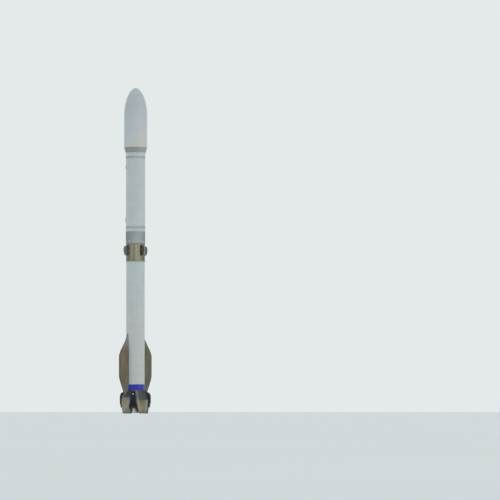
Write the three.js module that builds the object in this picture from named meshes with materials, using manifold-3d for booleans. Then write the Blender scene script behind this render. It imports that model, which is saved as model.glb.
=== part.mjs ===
// A two-stage orbital launch rocket on its hold-down feet, built as a 1:10 scale model.
// +Z is up, the strakes lie along X and the front, where the access side is, faces -Y.
// The origin is the centre of the base, in the plane of the four hold-down feet.
import * as THREE from "three";
import { mergeVertices } from "three/addons/utils/BufferGeometryUtils.js";
import Module from "manifold-3d";

const wasm = await Module();
wasm.setup();

// Millimetres of model for each metre of the real rocket.
const M = 100;
// Running gap between pieces that are cut to each other, in millimetres.
const GAP = 0.3;

// Heights above the hold-down feet, in real metres.
const HEIGHT = {
  skirtLip: 2.0,
  thrustPlate: 4.45,
  skirtTop: 8.8,
  bandTop: 10.9,
  boosterTop: 57.1,
  moduleTop: 63.9,
  interstageTop: 68.35,
  aftSkirtTop: 70.4,
  upperTankTop: 95.9,
  forwardSkirtTop: 98.2,
  boatTailTop: 100.1,
  shoulder: 112.0,
  capBase: 119.6,
  tip: 122.6,
};

// Outer radii, in real metres.
const RADIUS = {
  booster: 3.5,
  band: 3.52,
  module: 3.54,
  moduleLip: 3.6,
  interstage: 3.67,
  upper: 3.62,
  groove: 3.52,
  forwardSkirt: 3.67,
  boatTail: 3.88,
  fairing: 4.35,
  separationJoint: 4.24,
  bayWall: 4.35,
};

// Facets round the body, and how far such a facet's middle lies inside the true circle, in millimetres.
const ROUND = 48;
const FACET_SAG = 1.2;

// The aft end from the tank's base down: height, then the radius of the thrust skirt, the radius of the
// fairing over it, and half the angle that a landing leg takes between two fairings.
const AFT = [
  { z: 8.75, skirt: 3.52, fairing: 3.68, legHalf: 7.2 },
  { z: 8.3, skirt: 3.62, fairing: 3.9, legHalf: 7.8 },
  { z: 7.6, skirt: 3.9, fairing: 4.3, legHalf: 8.8 },
  { z: 6.4, skirt: 4.37, fairing: 4.85, legHalf: 10 },
  { z: 5.2, skirt: 4.55, fairing: 5.05, legHalf: 11.4 },
  { z: 5.12, skirt: 4.55, fairing: 5.11, legHalf: 11.5 },
  { z: 3.6, skirt: 4.55, fairing: 5.11, legHalf: 15 },
  { z: 2.2, skirt: 4.55, fairing: 5.07, legHalf: 18.8 },
  { z: 1.1, skirt: 4.55, fairing: 5.01, legHalf: 23 },
  { z: 0, skirt: 4.55, fairing: 4.92, legHalf: 26 },
];
// Degrees left free on each side of a leg.
const LEG_CLEARANCE = 0.9;
// A leg's foot, which lies on the slope at its top.
const FOOT = { height: 7.25, radius: 0.34, thick: 0.18 };
// The raised border along both sides of an aft fairing: its width in degrees and how far it stands out.
const RIM = { width: 6.5, lift: 0.08 };

// A landing leg, folded up: height, outer radius, half angle.
const LEG = [
  { z: 8.35, outer: 4.0, half: 7.4 },
  { z: 7.6, outer: 5.3, half: 8.7 },
  { z: 6.9, outer: 5.7, half: 9.4 },
  { z: 6.2, outer: 5.84, half: 10.1 },
  { z: 5.2, outer: 5.84, half: 11.3 },
  { z: 4.3, outer: 5.84, half: 13.2 },
  { z: 2.9, outer: 5.56, half: 16.7 },
  { z: 2.25, outer: 5.3, half: 18.5 },
];
// The rails along both sides of a leg, in degrees, and the depth of the pan between them.
const LEG_PAN = { rail: 2.6, depth: 0.1 };

// One strake's edge: height, reach from the rocket's axis, half thickness at the root.
const STRAKE = [
  { z: 30.0, reach: 3.62, root: 0.12 },
  { z: 27.5, reach: 4.6, root: 0.42 },
  { z: 23.0, reach: 7.08, root: 0.62 },
  { z: 22.1, reach: 7.42, root: 0.65 },
  { z: 21.3, reach: 7.55, root: 0.65 },
  { z: 14.4, reach: 7.55, root: 0.65 },
  { z: 13.5, reach: 7.47, root: 0.65 },
  { z: 12.5, reach: 7.2, root: 0.64 },
  { z: 9.2, reach: 5.97, root: 0.6 },
  { z: 7.0, reach: 5.15, root: 0.55 },
];
const STRAKE_EDGE = 0.12;
const STRAKE_CHAMFER = 0.1;

// The nine main engines: one in the middle and eight round it.
const ENGINE = {
  count: 8,
  pitchRadius: 3.1,
  gimbal: 4.2,
  ball: 0.2,
  seat: 0.24,
  exit: 0.25,
  exitRadius: 0.93,
  wall: 0.045,
};
const SHIELD = { low: 2.15, high: 2.32, hole: 0.88 };

// The small blocks that bridge each separation groove, and the brackets that hold the forward module.
const FITTING = { count: 24, wide: 0.16, deep: 0.14, tall: 0.6 };
const BRACKET = { count: 18, turn: 5, wide: 0.45, deep: 0.06, tall: 0.4, drop: 0.3 };
// The flat panels round the forward module.
const MODULE_PANELS = 24;
// The rail along the fairing's split line.
const SPLIT_RAIL = { half: 0.17, lift: 0.035 };

// A forward fin: the hub that it turns on, and its outline as reach and height.
const FIN = { height: 61.2, hub: 0.42, seat: 3.6, root: 3.67, thickness: 0.3, bevel: 0.08 };

const MATERIALS = {
  white: new THREE.MeshStandardMaterial({ color: 0xdfe3e4, roughness: 0.45, metalness: 0.0 }),
  grey: new THREE.MeshStandardMaterial({ color: 0x8f9899, roughness: 0.55, metalness: 0.0 }),
  shadow: new THREE.MeshStandardMaterial({ color: 0x8c9492, roughness: 0.6, metalness: 0.0 }),
  gold: new THREE.MeshStandardMaterial({ color: 0x9a9270, roughness: 0.4, metalness: 0.6 }),
  bronze: new THREE.MeshStandardMaterial({ color: 0x7c6c50, roughness: 0.5, metalness: 0.4 }),
  sand: new THREE.MeshStandardMaterial({ color: 0x9c9077, roughness: 0.55, metalness: 0.3 }),
  blue: new THREE.MeshStandardMaterial({ color: 0x2a3aa8, roughness: 0.4, metalness: 0.0 }),
  black: new THREE.MeshStandardMaterial({ color: 0x20262c, roughness: 0.5, metalness: 0.0 }),
  heat: new THREE.MeshStandardMaterial({ color: 0x4a4c4c, roughness: 0.8, metalness: 0.1 }),
  engine: new THREE.MeshStandardMaterial({ color: 0x9a958c, roughness: 0.35, metalness: 0.9 }),
  steel: new THREE.MeshStandardMaterial({ color: 0xc3c6c8, roughness: 0.35, metalness: 0.9 }),
};

const rocket = new THREE.Group();

// Names a geometry and puts it on the rocket.
function place(name, geometry, material) {
  const mesh = new THREE.Mesh(geometry, material);
  mesh.name = name;
  rocket.add(mesh);
}

// The point at a radius and an azimuth, counted in degrees from the front towards +X.
function around(radius, azimuth) {
  const a = THREE.MathUtils.degToRad(azimuth);
  return [radius * Math.sin(a), -radius * Math.cos(a)];
}

// A closed geometry as a solid for joining and cutting.
function solid(geometry) {
  const bare = geometry.index ? geometry.toNonIndexed() : geometry.clone();
  bare.deleteAttribute("normal");
  bare.deleteAttribute("uv");
  const merged = mergeVertices(bare, 1e-3);
  return new wasm.Manifold(
    new wasm.Mesh({
      numProp: 3,
      vertProperties: merged.attributes.position.array,
      triVerts: new Uint32Array(merged.index.array),
    }),
  );
}

// A solid back as a geometry.
function geometryOf(made) {
  const mesh = made.getMesh();
  const geometry = new THREE.BufferGeometry();
  geometry.setAttribute("position", new THREE.BufferAttribute(new Float32Array(mesh.vertProperties), 3));
  geometry.setIndex(new THREE.BufferAttribute(new Uint32Array(mesh.triVerts), 1));
  geometry.computeVertexNormals();
  return geometry;
}

// A turned piece about +Z, from a profile of [radius, height] in real metres, listed upwards.
function turned(profile, facets = ROUND) {
  const points = profile.map(([r, z]) => new THREE.Vector2(r * M, z * M));
  const geometry = new THREE.LatheGeometry(points, facets);
  geometry.rotateX(Math.PI / 2);
  return geometry;
}

// A closed skin over a stack of rings that all have the same number of points, lowest ring first.
function skinned(rings) {
  const size = rings[0].length;
  const positions = rings.flat(2);
  const index = [];
  for (let k = 0; k + 1 < rings.length; k++) {
    for (let i = 0; i < size; i++) {
      const j = (i + 1) % size;
      const low = k * size;
      const high = low + size;
      index.push(low + i, low + j, high + j, low + i, high + j, high + i);
    }
  }
  const top = (rings.length - 1) * size;
  const outline = (ring) => ring.map(([x, y]) => new THREE.Vector2(x, y));
  THREE.ShapeUtils.triangulateShape(outline(rings[0]), []).forEach(([a, b, c]) => index.push(a, c, b));
  THREE.ShapeUtils.triangulateShape(outline(rings[rings.length - 1]), []).forEach(([a, b, c]) =>
    index.push(top + a, top + b, top + c),
  );
  const geometry = new THREE.BufferGeometry();
  geometry.setAttribute("position", new THREE.BufferAttribute(new Float32Array(positions), 3));
  geometry.setIndex(index);
  return geometry;
}

// A curved panel round the body. Each row gives z, inner and outer radius in real metres and half its angle.
// A border runs along both sides, width degrees wide, and the middle lies lower than it by drop.
function panel(rows, azimuth, steps, { width = 0, drop = 0 } = {}) {
  const rings = rows.map(({ z, inner, outer, half }) => {
    const spots = [];
    const middle = half - width;
    for (let i = 0; i <= steps; i++) spots.push([-middle + (2 * middle * i) / steps, outer - drop]);
    if (width > 0) {
      const bend = 0.7;
      spots.unshift([-half, outer], [-middle - bend, outer]);
      spots.push([middle + bend, outer], [half, outer]);
    }
    const ring = spots.map(([angle, radius]) => [...around(radius * M, azimuth + angle), z * M]);
    spots.reverse().forEach(([angle]) => ring.push([...around(inner * M, azimuth + angle), z * M]));
    return ring;
  });
  return skinned(rings);
}

// Blocks spread round the body at a height, which stand out from its surface. Sizes are in real metres.
function blocksRound({ count, turn = 0, wide, deep, tall }, radius, z) {
  let made = null;
  const root = 0.1;
  for (let k = 0; k < count; k++) {
    const block = new THREE.BoxGeometry(wide * M, (deep + root) * M, tall * M);
    block.translate(0, -(radius + (deep - root) / 2) * M, z * M);
    const turnedBlock = solid(turnedTo(block, turn + (360 * k) / count));
    made = made ? made.add(turnedBlock) : turnedBlock;
  }
  return made;
}

// Reads a value from a table by height.
function atHeight(table, z, key) {
  const rows = [...table].sort((a, b) => a.z - b.z);
  if (z <= rows[0].z) return rows[0][key];
  for (let i = 0; i + 1 < rows.length; i++) {
    const [a, b] = [rows[i], rows[i + 1]];
    if (z <= b.z) return a[key] + ((b[key] - a[key]) * (z - a.z)) / (b.z - a.z);
  }
  return rows[rows.length - 1][key];
}

// A piece that is made upright at the front, turned round the body.
function turnedTo(geometry, azimuth) {
  return geometry.rotateZ(THREE.MathUtils.degToRad(azimuth));
}

// Payload fairing
function noseRadius(z) {
  const along = (z - HEIGHT.shoulder) / (HEIGHT.tip - HEIGHT.shoulder);
  return RADIUS.fairing * Math.pow(Math.max(0, 1 - along * along), 0.55);
}

function noseProfile(from, to, steps) {
  const points = [];
  for (let i = 0; i <= steps; i++) {
    // The steps close up towards the tip, where the nose is roundest.
    const share = Math.sin((i / steps) * (Math.PI / 2));
    const z = from + (to - from) * share;
    points.push([noseRadius(z), z]);
  }
  return points;
}

function fairing() {
  const cap = noseProfile(HEIGHT.capBase, HEIGHT.tip, 5);
  place("nose_cap", turned([[0, HEIGHT.capBase], ...cap]), MATERIALS.white);

  const outside = [[RADIUS.fairing, HEIGHT.boatTailTop], ...noseProfile(HEIGHT.shoulder, HEIGHT.capBase, 7)];
  let shell = solid(turned([[0, HEIGHT.boatTailTop], ...outside, [0, HEIGHT.capBase]]));
  for (const side of [90, 270]) {
    const rows = outside.map(([r, z]) => ({
      z,
      inner: r - 0.2,
      outer: r + SPLIT_RAIL.lift,
      half: THREE.MathUtils.radToDeg(SPLIT_RAIL.half / r),
    }));
    shell = shell.add(solid(panel(rows, side, 2)));
  }
  const tall = (HEIGHT.tip - HEIGHT.boatTailTop) * M;
  const wide = 2.2 * RADIUS.fairing * M;
  for (const [name, side] of [["fairing_front_half", -1], ["fairing_rear_half", 1]]) {
    const block = new THREE.BoxGeometry(wide, wide, 2 * tall);
    block.translate(0, side * (wide / 2 + GAP / 2), HEIGHT.boatTailTop * M);
    place(name, geometryOf(shell.intersect(solid(block))), MATERIALS.white);
  }
}

// The stack of turned sections, from the top down: name, material, profile upwards.
function stack() {
  const h = HEIGHT;
  const r = RADIUS;
  const sections = [
    {
      name: "fairing_boat_tail",
      material: MATERIALS.shadow,
      profile: [
        [r.boatTail, h.forwardSkirtTop],
        [r.boatTail, h.forwardSkirtTop + 0.3],
        [r.separationJoint, h.boatTailTop - 0.3],
        [r.separationJoint, h.boatTailTop],
      ],
    },
    {
      name: "upper_stage_forward_skirt",
      material: MATERIALS.white,
      profile: [
        [r.groove, h.upperTankTop],
        [r.groove, h.upperTankTop + 0.75],
        [r.forwardSkirt, h.upperTankTop + 0.9],
        [r.forwardSkirt, h.forwardSkirtTop],
      ],
      blocks: { of: FITTING, radius: r.groove, z: h.upperTankTop + 0.4 },
    },
    {
      name: "upper_stage_tank",
      material: MATERIALS.white,
      profile: [
        [r.upper, h.aftSkirtTop],
        [r.upper, h.upperTankTop],
      ],
    },
    {
      name: "upper_stage_aft_skirt",
      material: MATERIALS.white,
      profile: [
        [r.interstage, h.interstageTop],
        [r.interstage, h.interstageTop + 0.95],
        [r.groove, h.interstageTop + 1.1],
        [r.groove, h.aftSkirtTop],
      ],
      blocks: { of: FITTING, radius: r.groove, z: h.aftSkirtTop - 0.45 },
    },
    {
      name: "interstage",
      material: MATERIALS.grey,
      profile: [
        [r.interstage, h.moduleTop],
        [r.interstage, h.moduleTop + 1.3],
        [r.interstage - 0.03, h.moduleTop + 1.35],
        [r.interstage - 0.03, h.interstageTop - 0.2],
        [r.interstage, h.interstageTop - 0.15],
        [r.interstage, h.interstageTop],
      ],
    },
    {
      name: "booster_tank",
      material: MATERIALS.white,
      profile: [
        [r.booster, h.bandTop],
        [r.booster, h.boosterTop],
      ],
      blocks: { of: BRACKET, radius: r.booster, z: h.boosterTop - BRACKET.drop },
    },
    {
      name: "booster_base_band",
      material: MATERIALS.blue,
      profile: [
        [r.band, h.skirtTop],
        [r.band, h.bandTop],
      ],
    },
  ];
  for (const { name, material, profile, blocks } of sections) {
    const bottom = profile[0][1];
    const top = profile[profile.length - 1][1];
    let geometry = turned([[0, bottom], ...profile, [0, top]]);
    if (blocks) geometry = geometryOf(solid(geometry).add(blocksRound(blocks.of, blocks.radius, blocks.z)));
    place(name, geometry, material);
  }
}

// The gold module that carries the fins, with a flat seat for each fin's hub.
function forwardModule() {
  const { boosterTop: low, moduleTop: high } = HEIGHT;
  const lip = 0.35;
  const core = RADIUS.module - 0.15;
  let made = solid(
    turned([
      [0, low],
      [RADIUS.moduleLip, low],
      [RADIUS.moduleLip, low + lip],
      [core, low + lip + 0.05],
      [core, high - lip - 0.05],
      [RADIUS.moduleLip, high - lip],
      [RADIUS.moduleLip, high],
      [0, high],
    ]),
  );
  // The facets of a coarse drum are the flat panels between the lips.
  const corner = RADIUS.module / Math.cos(Math.PI / MODULE_PANELS);
  const drum = turned([[0, low + 0.1], [corner, low + 0.1], [corner, high - 0.1], [0, high - 0.1]], MODULE_PANELS);
  made = made.add(solid(drum.rotateZ(Math.PI / MODULE_PANELS)));
  const boss = { radius: 0.55, root: 3.0 };
  for (let k = 0; k < 4; k++) {
    const seat = new THREE.CylinderGeometry(boss.radius * M, boss.radius * M, (FIN.seat - boss.root) * M, 16);
    seat.translate(0, (-(FIN.seat + boss.root) / 2) * M, FIN.height * M);
    made = made.add(solid(turnedTo(seat, 90 * k)));
  }
  place("forward_module", geometryOf(made), MATERIALS.gold);
}

// Forward fins, which turn about the radial line through their hubs.
function finBlade() {
  const outline = new THREE.Shape();
  const z = FIN.height;
  outline.moveTo(FIN.root * M, (z - 1.75) * M);
  outline.lineTo(4.35 * M, (z - 1.95) * M);
  outline.quadraticCurveTo(5.5 * M, (z - 1.75) * M, 5.58 * M, (z + 0.3) * M);
  outline.quadraticCurveTo(5.6 * M, (z + 1.35) * M, 5.0 * M, (z + 1.6) * M);
  outline.lineTo(FIN.root * M, (z + 2.05) * M);
  outline.closePath();
  const blade = new THREE.ExtrudeGeometry(outline, {
    depth: (FIN.thickness - 2 * FIN.bevel) * M,
    bevelEnabled: true,
    bevelSegments: 1,
    bevelSize: FIN.bevel * M,
    bevelOffset: -FIN.bevel * M,
    bevelThickness: FIN.bevel * M,
    curveSegments: 5,
    steps: 1,
  });
  // The outline's x becomes the reach towards the front, and its y the height.
  blade.translate(0, 0, (-(FIN.thickness - 2 * FIN.bevel) / 2) * M);
  blade.rotateX(Math.PI / 2);
  blade.rotateZ(-Math.PI / 2);
  return blade;
}

function fins() {
  const names = ["forward_fin_front", "forward_fin_right", "forward_fin_rear", "forward_fin_left"];
  const hubLow = FIN.seat * M + GAP;
  const hubHigh = (FIN.root + 0.25) * M;
  names.forEach((name, k) => {
    const hub = new THREE.CylinderGeometry(FIN.hub * M, FIN.hub * M * 0.45, hubHigh - hubLow, 16);
    hub.translate(0, -(hubLow + hubHigh) / 2, FIN.height * M);
    const made = solid(finBlade()).add(solid(hub));
    place(name, turnedTo(geometryOf(made), 90 * k), MATERIALS.black);
  });
}

// The outer surface of the booster from the strakes' point of view, with the gap that they keep.
function bodyEnvelope(gap) {
  const rows = [...AFT].reverse().map(({ z, fairing }) => [fairing + (gap + FACET_SAG) / M, z]);
  return turned([
    [0, 0],
    ...rows,
    [RADIUS.band + gap / M, HEIGHT.skirtTop],
    [RADIUS.band + gap / M, HEIGHT.bandTop],
    [RADIUS.band + gap / M, 35],
    [0, 35],
  ]);
}

// Strakes: wedges that are thick at the root and thin along the edge.
function strakes() {
  const inside = 2.8;
  const rings = [...STRAKE].reverse().map(({ z, reach, root }) => {
    const edge = Math.min(STRAKE_EDGE, root * 0.6);
    const c = STRAKE_CHAMFER;
    const slope = (root - edge) / (reach - RADIUS.booster);
    const deep = root + slope * (RADIUS.booster - inside);
    return [
      [inside, -deep],
      [reach - c, -edge],
      [reach, -edge * 0.35],
      [reach, edge * 0.35],
      [reach - c, edge],
      [inside, deep],
    ].map(([x, y]) => [x * M, y * M, z * M]);
  });
  const wedge = solid(skinned(rings));
  const cut = wedge.subtract(solid(bodyEnvelope(GAP)));
  place("strake_right", geometryOf(cut), MATERIALS.bronze);
  place("strake_left", turnedTo(geometryOf(cut), 180), MATERIALS.bronze);
}

// The place of each engine, in real metres.
function engineSpots() {
  const spots = [{ name: "middle", x: 0, y: 0 }];
  for (let k = 0; k < ENGINE.count; k++) {
    const [x, y] = around(ENGINE.pitchRadius, (360 / ENGINE.count) * k);
    spots.push({ name: String(k + 1), x, y });
  }
  return spots;
}

// The thrust skirt is open below; the plate inside it has a seat over each engine.
function thrustSkirt() {
  const rows = [...AFT].reverse().filter(({ z }) => z > HEIGHT.skirtLip);
  let made = solid(
    turned([
      [0, HEIGHT.thrustPlate],
      [RADIUS.bayWall, HEIGHT.thrustPlate],
      [RADIUS.bayWall, HEIGHT.skirtLip],
      [AFT[AFT.length - 1].skirt, HEIGHT.skirtLip],
      ...rows.map(({ z, skirt }) => [skirt, z]),
      [RADIUS.band, HEIGHT.skirtTop],
      [0, HEIGHT.skirtTop],
    ]),
  );
  const low = (ENGINE.gimbal + ENGINE.ball) * M + GAP;
  const high = (HEIGHT.thrustPlate + 0.2) * M;
  for (const { x, y } of engineSpots()) {
    const seat = new THREE.CylinderGeometry(ENGINE.seat * M, ENGINE.seat * M, high - low, 10);
    seat.rotateX(Math.PI / 2);
    seat.translate(x * M, y * M, (low + high) / 2);
    made = made.add(solid(seat));
  }
  place("thrust_skirt", geometryOf(made), MATERIALS.heat);
}

// The base heat shield, with a hole that each bell can swing in.
function heatShield() {
  const radius = RADIUS.bayWall * M - 0.5;
  const outline = new THREE.Shape();
  for (let i = 0; i < ROUND; i++) {
    const [x, y] = around(radius, (360 * i) / ROUND);
    if (i === 0) outline.moveTo(x, y);
    else outline.lineTo(x, y);
  }
  outline.closePath();
  for (const { x, y } of engineSpots()) {
    const hole = new THREE.Path();
    hole.absarc(x * M, y * M, SHIELD.hole * M, 0, 2 * Math.PI, true);
    outline.holes.push(hole);
  }
  const plate = new THREE.ExtrudeGeometry(outline, {
    depth: (SHIELD.high - SHIELD.low) * M,
    bevelEnabled: false,
    curveSegments: 10,
  });
  plate.translate(0, 0, SHIELD.low * M);
  place("base_heat_shield", plate, MATERIALS.heat);
}

// What the thrust skirt takes up, with the gap that the fairings and the legs keep to it.
function skirtCore() {
  const rows = [...AFT].reverse().map(({ z, skirt }) => [skirt + GAP / M, z]);
  const low = rows[0];
  const high = rows[rows.length - 1];
  return solid(turned([[0, low[1] - 1], [low[0], low[1] - 1], ...rows, [high[0], 9], [0, 9]]));
}

// Aft fairings between the landing legs. Their flat undersides are the hold-down feet.
function aftFairings(core) {
  const rows = [...AFT].reverse().map(({ z, skirt, fairing, legHalf }) => ({
    z,
    inner: skirt - 0.15,
    outer: fairing + RIM.lift,
    half: 45 - legHalf - LEG_CLEARANCE,
  }));
  ["front", "right", "rear", "left"].forEach((side, k) => {
    const cut = solid(panel(rows, 90 * k, 4, { width: RIM.width, drop: RIM.lift })).subtract(core);
    place(`aft_fairing_${side}`, geometryOf(cut), MATERIALS.sand);
  });
}

// Landing legs, folded up between the aft fairings, each with its foot at the top.
function landingLegs(core) {
  const rows = [...LEG].reverse().map(({ z, outer, half }) => ({
    z,
    inner: atHeight(AFT, z, "skirt") - 0.1,
    outer,
    half,
  }));
  // The foot's axis stands square to the slope that it lies on.
  const seat = atHeight(LEG, FOOT.height, "outer") - LEG_PAN.depth;
  const rise = 0.05;
  const slope = (atHeight(LEG, FOOT.height - rise, "outer") - atHeight(LEG, FOOT.height + rise, "outer")) / (2 * rise);
  const tilt = Math.atan(slope);
  const out = GAP + 0.05 + (FOOT.thick * M) / 2;
  for (let k = 0; k < 4; k++) {
    const azimuth = 45 + 90 * k;
    const border = { width: LEG_PAN.rail, drop: LEG_PAN.depth };
    const cut = solid(panel(rows, azimuth, 2, border)).subtract(core);
    place(`landing_leg_${k + 1}`, geometryOf(cut), MATERIALS.black);
    const pad = new THREE.CylinderGeometry(FOOT.radius * M * 0.85, FOOT.radius * M, FOOT.thick * M, 20);
    pad.rotateX(Math.PI - tilt);
    pad.translate(0, -seat * M - out * Math.cos(tilt), FOOT.height * M + out * Math.sin(tilt));
    place(`leg_foot_${k + 1}`, turnedTo(pad, azimuth), MATERIALS.steel);
  }
}

// Engines: a plain powerhead, then a thin bell that is open below. Each hangs from a gimbal ball.
function bellRadius(share) {
  const throat = 0.23;
  return throat + (ENGINE.exitRadius - throat) * Math.pow(share, 0.62);
}

function engines() {
  const throatZ = 2.7;
  const along = (share) => throatZ - share * (throatZ - ENGINE.exit);
  const bell = [0, 0.1, 0.28, 0.6, 1].map((share) => [bellRadius(share), along(share)]);
  // Bands stiffen the bell, and a manifold runs round its throat.
  const outer = [[ENGINE.exitRadius + 0.05, ENGINE.exit]];
  for (const [share, proud] of [[0.97, 0.05], [0.95, 0], [0.6, 0], [0.58, 0.04], [0.55, 0], [0.15, 0], [0.1, 0.1]]) {
    outer.push([bellRadius(share) + proud, along(share)]);
  }
  outer.push([bellRadius(0.05), along(0.04)]);
  const inner = bell.slice(1).map(([r, z]) => [r - ENGINE.wall, z]);
  const head = ENGINE.gimbal - ENGINE.ball - GAP / M;
  const profile = [
    [0, throatZ - 0.12],
    ...inner,
    ...outer,
    [0.34, throatZ + 0.25],
    [0.34, throatZ + 0.55],
    [0.41, throatZ + 0.6],
    [0.41, throatZ + 0.68],
    [0.2, head - 0.1],
    [0.2, head],
    [0, head],
  ];
  let engine = solid(turned(profile, 16));
  // Two pumps stand beside the chamber.
  const pump = { reach: 0.36, radius: 0.15, low: throatZ + 0.3, high: head - 0.25 };
  for (const side of [-1, 1]) {
    const body = new THREE.CylinderGeometry(pump.radius * M, pump.radius * M, (pump.high - pump.low) * M, 8);
    body.rotateX(Math.PI / 2);
    body.translate(side * pump.reach * M, 0, ((pump.low + pump.high) / 2) * M);
    engine = engine.add(solid(body));
  }
  const ball = new THREE.SphereGeometry(ENGINE.ball * M, 10, 6).rotateX(Math.PI / 2);
  for (const { name, x, y } of engineSpots()) {
    place(`engine_${name}`, geometryOf(engine).translate(x * M, y * M, 0), MATERIALS.engine);
    const spot = ball.clone().translate(x * M, y * M, ENGINE.gimbal * M);
    place(`gimbal_${name}`, spot, MATERIALS.steel);
  }
}

// Cable raceways along the rear and umbilical plates on the rear left.
function systems() {
  const strips = [
    { name: "booster_raceway", radius: RADIUS.booster, low: 11.3, high: 56.3, half: 3.4, tall: 0.2 },
    { name: "upper_stage_raceway", radius: RADIUS.upper, low: 70.9, high: 95.5, half: 3.0, tall: 0.18 },
  ];
  for (const { name, radius, low, high, half, tall } of strips) {
    const inner = radius + GAP / M + 0.002;
    const end = 0.35;
    const rows = [
      { z: low, inner, outer: inner + 0.04, half: half * 0.7 },
      { z: low + end, inner, outer: radius + tall, half },
      { z: high - end, inner, outer: radius + tall, half },
      { z: high, inner, outer: inner + 0.04, half: half * 0.7 },
    ];
    place(name, panel(rows, 180, 3), MATERIALS.white);
  }
  const plates = [
    { name: "umbilical_plate_low", z: 72.6, half: 8, tall: 1.5 },
    { name: "umbilical_plate_high", z: 92.6, half: 7, tall: 1.3 },
  ];
  const plateAzimuth = -126;
  for (const { name, z, half, tall } of plates) {
    const inner = RADIUS.upper + GAP / M + 0.004;
    const flat = (RADIUS.upper + 0.16) * M;
    const wide = 2 * RADIUS.upper * Math.sin(THREE.MathUtils.degToRad(half)) * M;
    const deep = 0.5 * M;
    const block = new THREE.BoxGeometry(wide, deep, tall * M);
    block.translate(0, -(flat - deep / 2), z * M);
    const core = turned([
      [0, z - tall],
      [inner, z - tall],
      [inner, z + tall],
      [0, z + tall],
    ]);
    const made = solid(turnedTo(block, plateAzimuth)).subtract(solid(core));
    place(name, geometryOf(made), MATERIALS.steel);
  }
}

fairing();
stack();
forwardModule();
fins();
strakes();
thrustSkirt();
heatShield();
aftFairings(skirtCore());
landingLegs(skirtCore());
engines();
systems();

export default rocket;
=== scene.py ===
# Looks of a two-stage orbital launch rocket, built as a 1:10 scale model.
# Lengths are metres of the model unless a name says otherwise. +Z is up, the front faces -Y and the
# strakes lie along X. An azimuth is counted in degrees from the front towards +X.
import math
import random

import bmesh
import bpy
from mathutils import Matrix, Vector, noise


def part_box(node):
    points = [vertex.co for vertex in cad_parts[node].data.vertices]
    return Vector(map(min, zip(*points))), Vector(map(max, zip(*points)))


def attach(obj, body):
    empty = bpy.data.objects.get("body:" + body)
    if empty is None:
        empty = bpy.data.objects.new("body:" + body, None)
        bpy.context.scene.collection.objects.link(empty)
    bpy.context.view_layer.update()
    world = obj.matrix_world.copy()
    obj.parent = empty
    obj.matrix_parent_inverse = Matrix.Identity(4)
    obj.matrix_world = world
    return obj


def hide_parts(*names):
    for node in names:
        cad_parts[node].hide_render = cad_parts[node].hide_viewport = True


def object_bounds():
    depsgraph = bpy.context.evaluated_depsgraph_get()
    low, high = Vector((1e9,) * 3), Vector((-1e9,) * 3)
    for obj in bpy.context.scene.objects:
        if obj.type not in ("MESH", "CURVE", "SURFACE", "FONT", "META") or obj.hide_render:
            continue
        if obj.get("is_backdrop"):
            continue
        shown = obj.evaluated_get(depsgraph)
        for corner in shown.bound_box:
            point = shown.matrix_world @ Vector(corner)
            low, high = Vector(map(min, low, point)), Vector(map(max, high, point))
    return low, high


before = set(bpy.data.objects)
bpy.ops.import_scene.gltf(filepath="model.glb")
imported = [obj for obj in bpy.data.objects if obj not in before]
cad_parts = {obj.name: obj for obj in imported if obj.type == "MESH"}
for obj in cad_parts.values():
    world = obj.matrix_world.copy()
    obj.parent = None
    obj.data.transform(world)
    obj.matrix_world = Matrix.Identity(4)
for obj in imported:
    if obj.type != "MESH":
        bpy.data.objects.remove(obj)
cad_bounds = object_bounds()
random.seed(11)

MM = 0.001

# The quilted cloth's seams lie this far apart, and this far behind the middle of its pillows.
QUILT_PITCH = 55 * MM
QUILT_DEPTH = 3.5 * MM

# Steps round the body, and the width and depth of a joint between two panels.
ROUND = 144
JOINT_WIDTH = 4 * MM
JOINT_DEPTH = 2.5 * MM
# Faces that meet at more than this many degrees have a sharp edge between them.
SOFT_ANGLE = 32
# Points nearer to each other than this are joined after a cut.
WELD = 0.02 * MM
# Fasteners round one of the body's rings.
RING_STUDS = 72


def low_end(node):
    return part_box(node)[0].z


def high_end(node):
    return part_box(node)[1].z


def reach_of(node):
    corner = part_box(node)[1]
    return max(corner.x, corner.y)


# Sizes from the frame
TIP = high_end("nose_cap")
CAP_BASE = low_end("nose_cap")
FAIRING_BASE = low_end("fairing_front_half")
TAIL_BASE = low_end("fairing_boat_tail")
FORWARD_SKIRT_RADIUS = reach_of("upper_stage_forward_skirt")
UPPER_TOP = high_end("upper_stage_tank")
UPPER_BASE = low_end("upper_stage_tank")
UPPER_RADIUS = reach_of("upper_stage_tank")
INTERSTAGE_TOP = high_end("interstage")
INTERSTAGE_BASE = low_end("interstage")
INTERSTAGE_RADIUS = reach_of("interstage")
MODULE_BASE = low_end("forward_module")
BOOSTER_BASE = low_end("booster_tank")
BAND_BASE = low_end("booster_base_band")
BAND_RADIUS = reach_of("booster_base_band")
SKIRT_LIP = low_end("thrust_skirt")
SHIELD_LOW = low_end("base_heat_shield")
SHIELD_HIGH = high_end("base_heat_shield")
BAY_RADIUS = reach_of("base_heat_shield")
GIMBAL_BASE = low_end("gimbal_middle")
GIMBAL_TOP = high_end("gimbal_middle")

# Heights and radii that the frame's boxes do not give.
SHOULDER = 11.2
NOSE_POWER = 0.55
FAIRING_RADIUS = 0.435
SEPARATION_RADIUS = 0.424
BOAT_TAIL_RADIUS = 0.388
GROOVE_RADIUS = 0.352
MODULE_RADIUS = 0.354
MODULE_LIP_RADIUS = 0.36
MODULE_LIP = 0.035
BOOSTER_RADIUS = 0.35
THRUST_PLATE = 0.445
ENGINE_PITCH_RADIUS = 0.31
ENGINE_COUNT = 8
# The hole in the heat shield round an engine, and the heights and radii of a bell's throat and exit.
ENGINE_HOLE = 88 * MM
THROAT = 0.27
BELL_EXIT = 26 * MM
THROAT_RADIUS = 23 * MM
EXIT_RADIUS = 93 * MM

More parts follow.
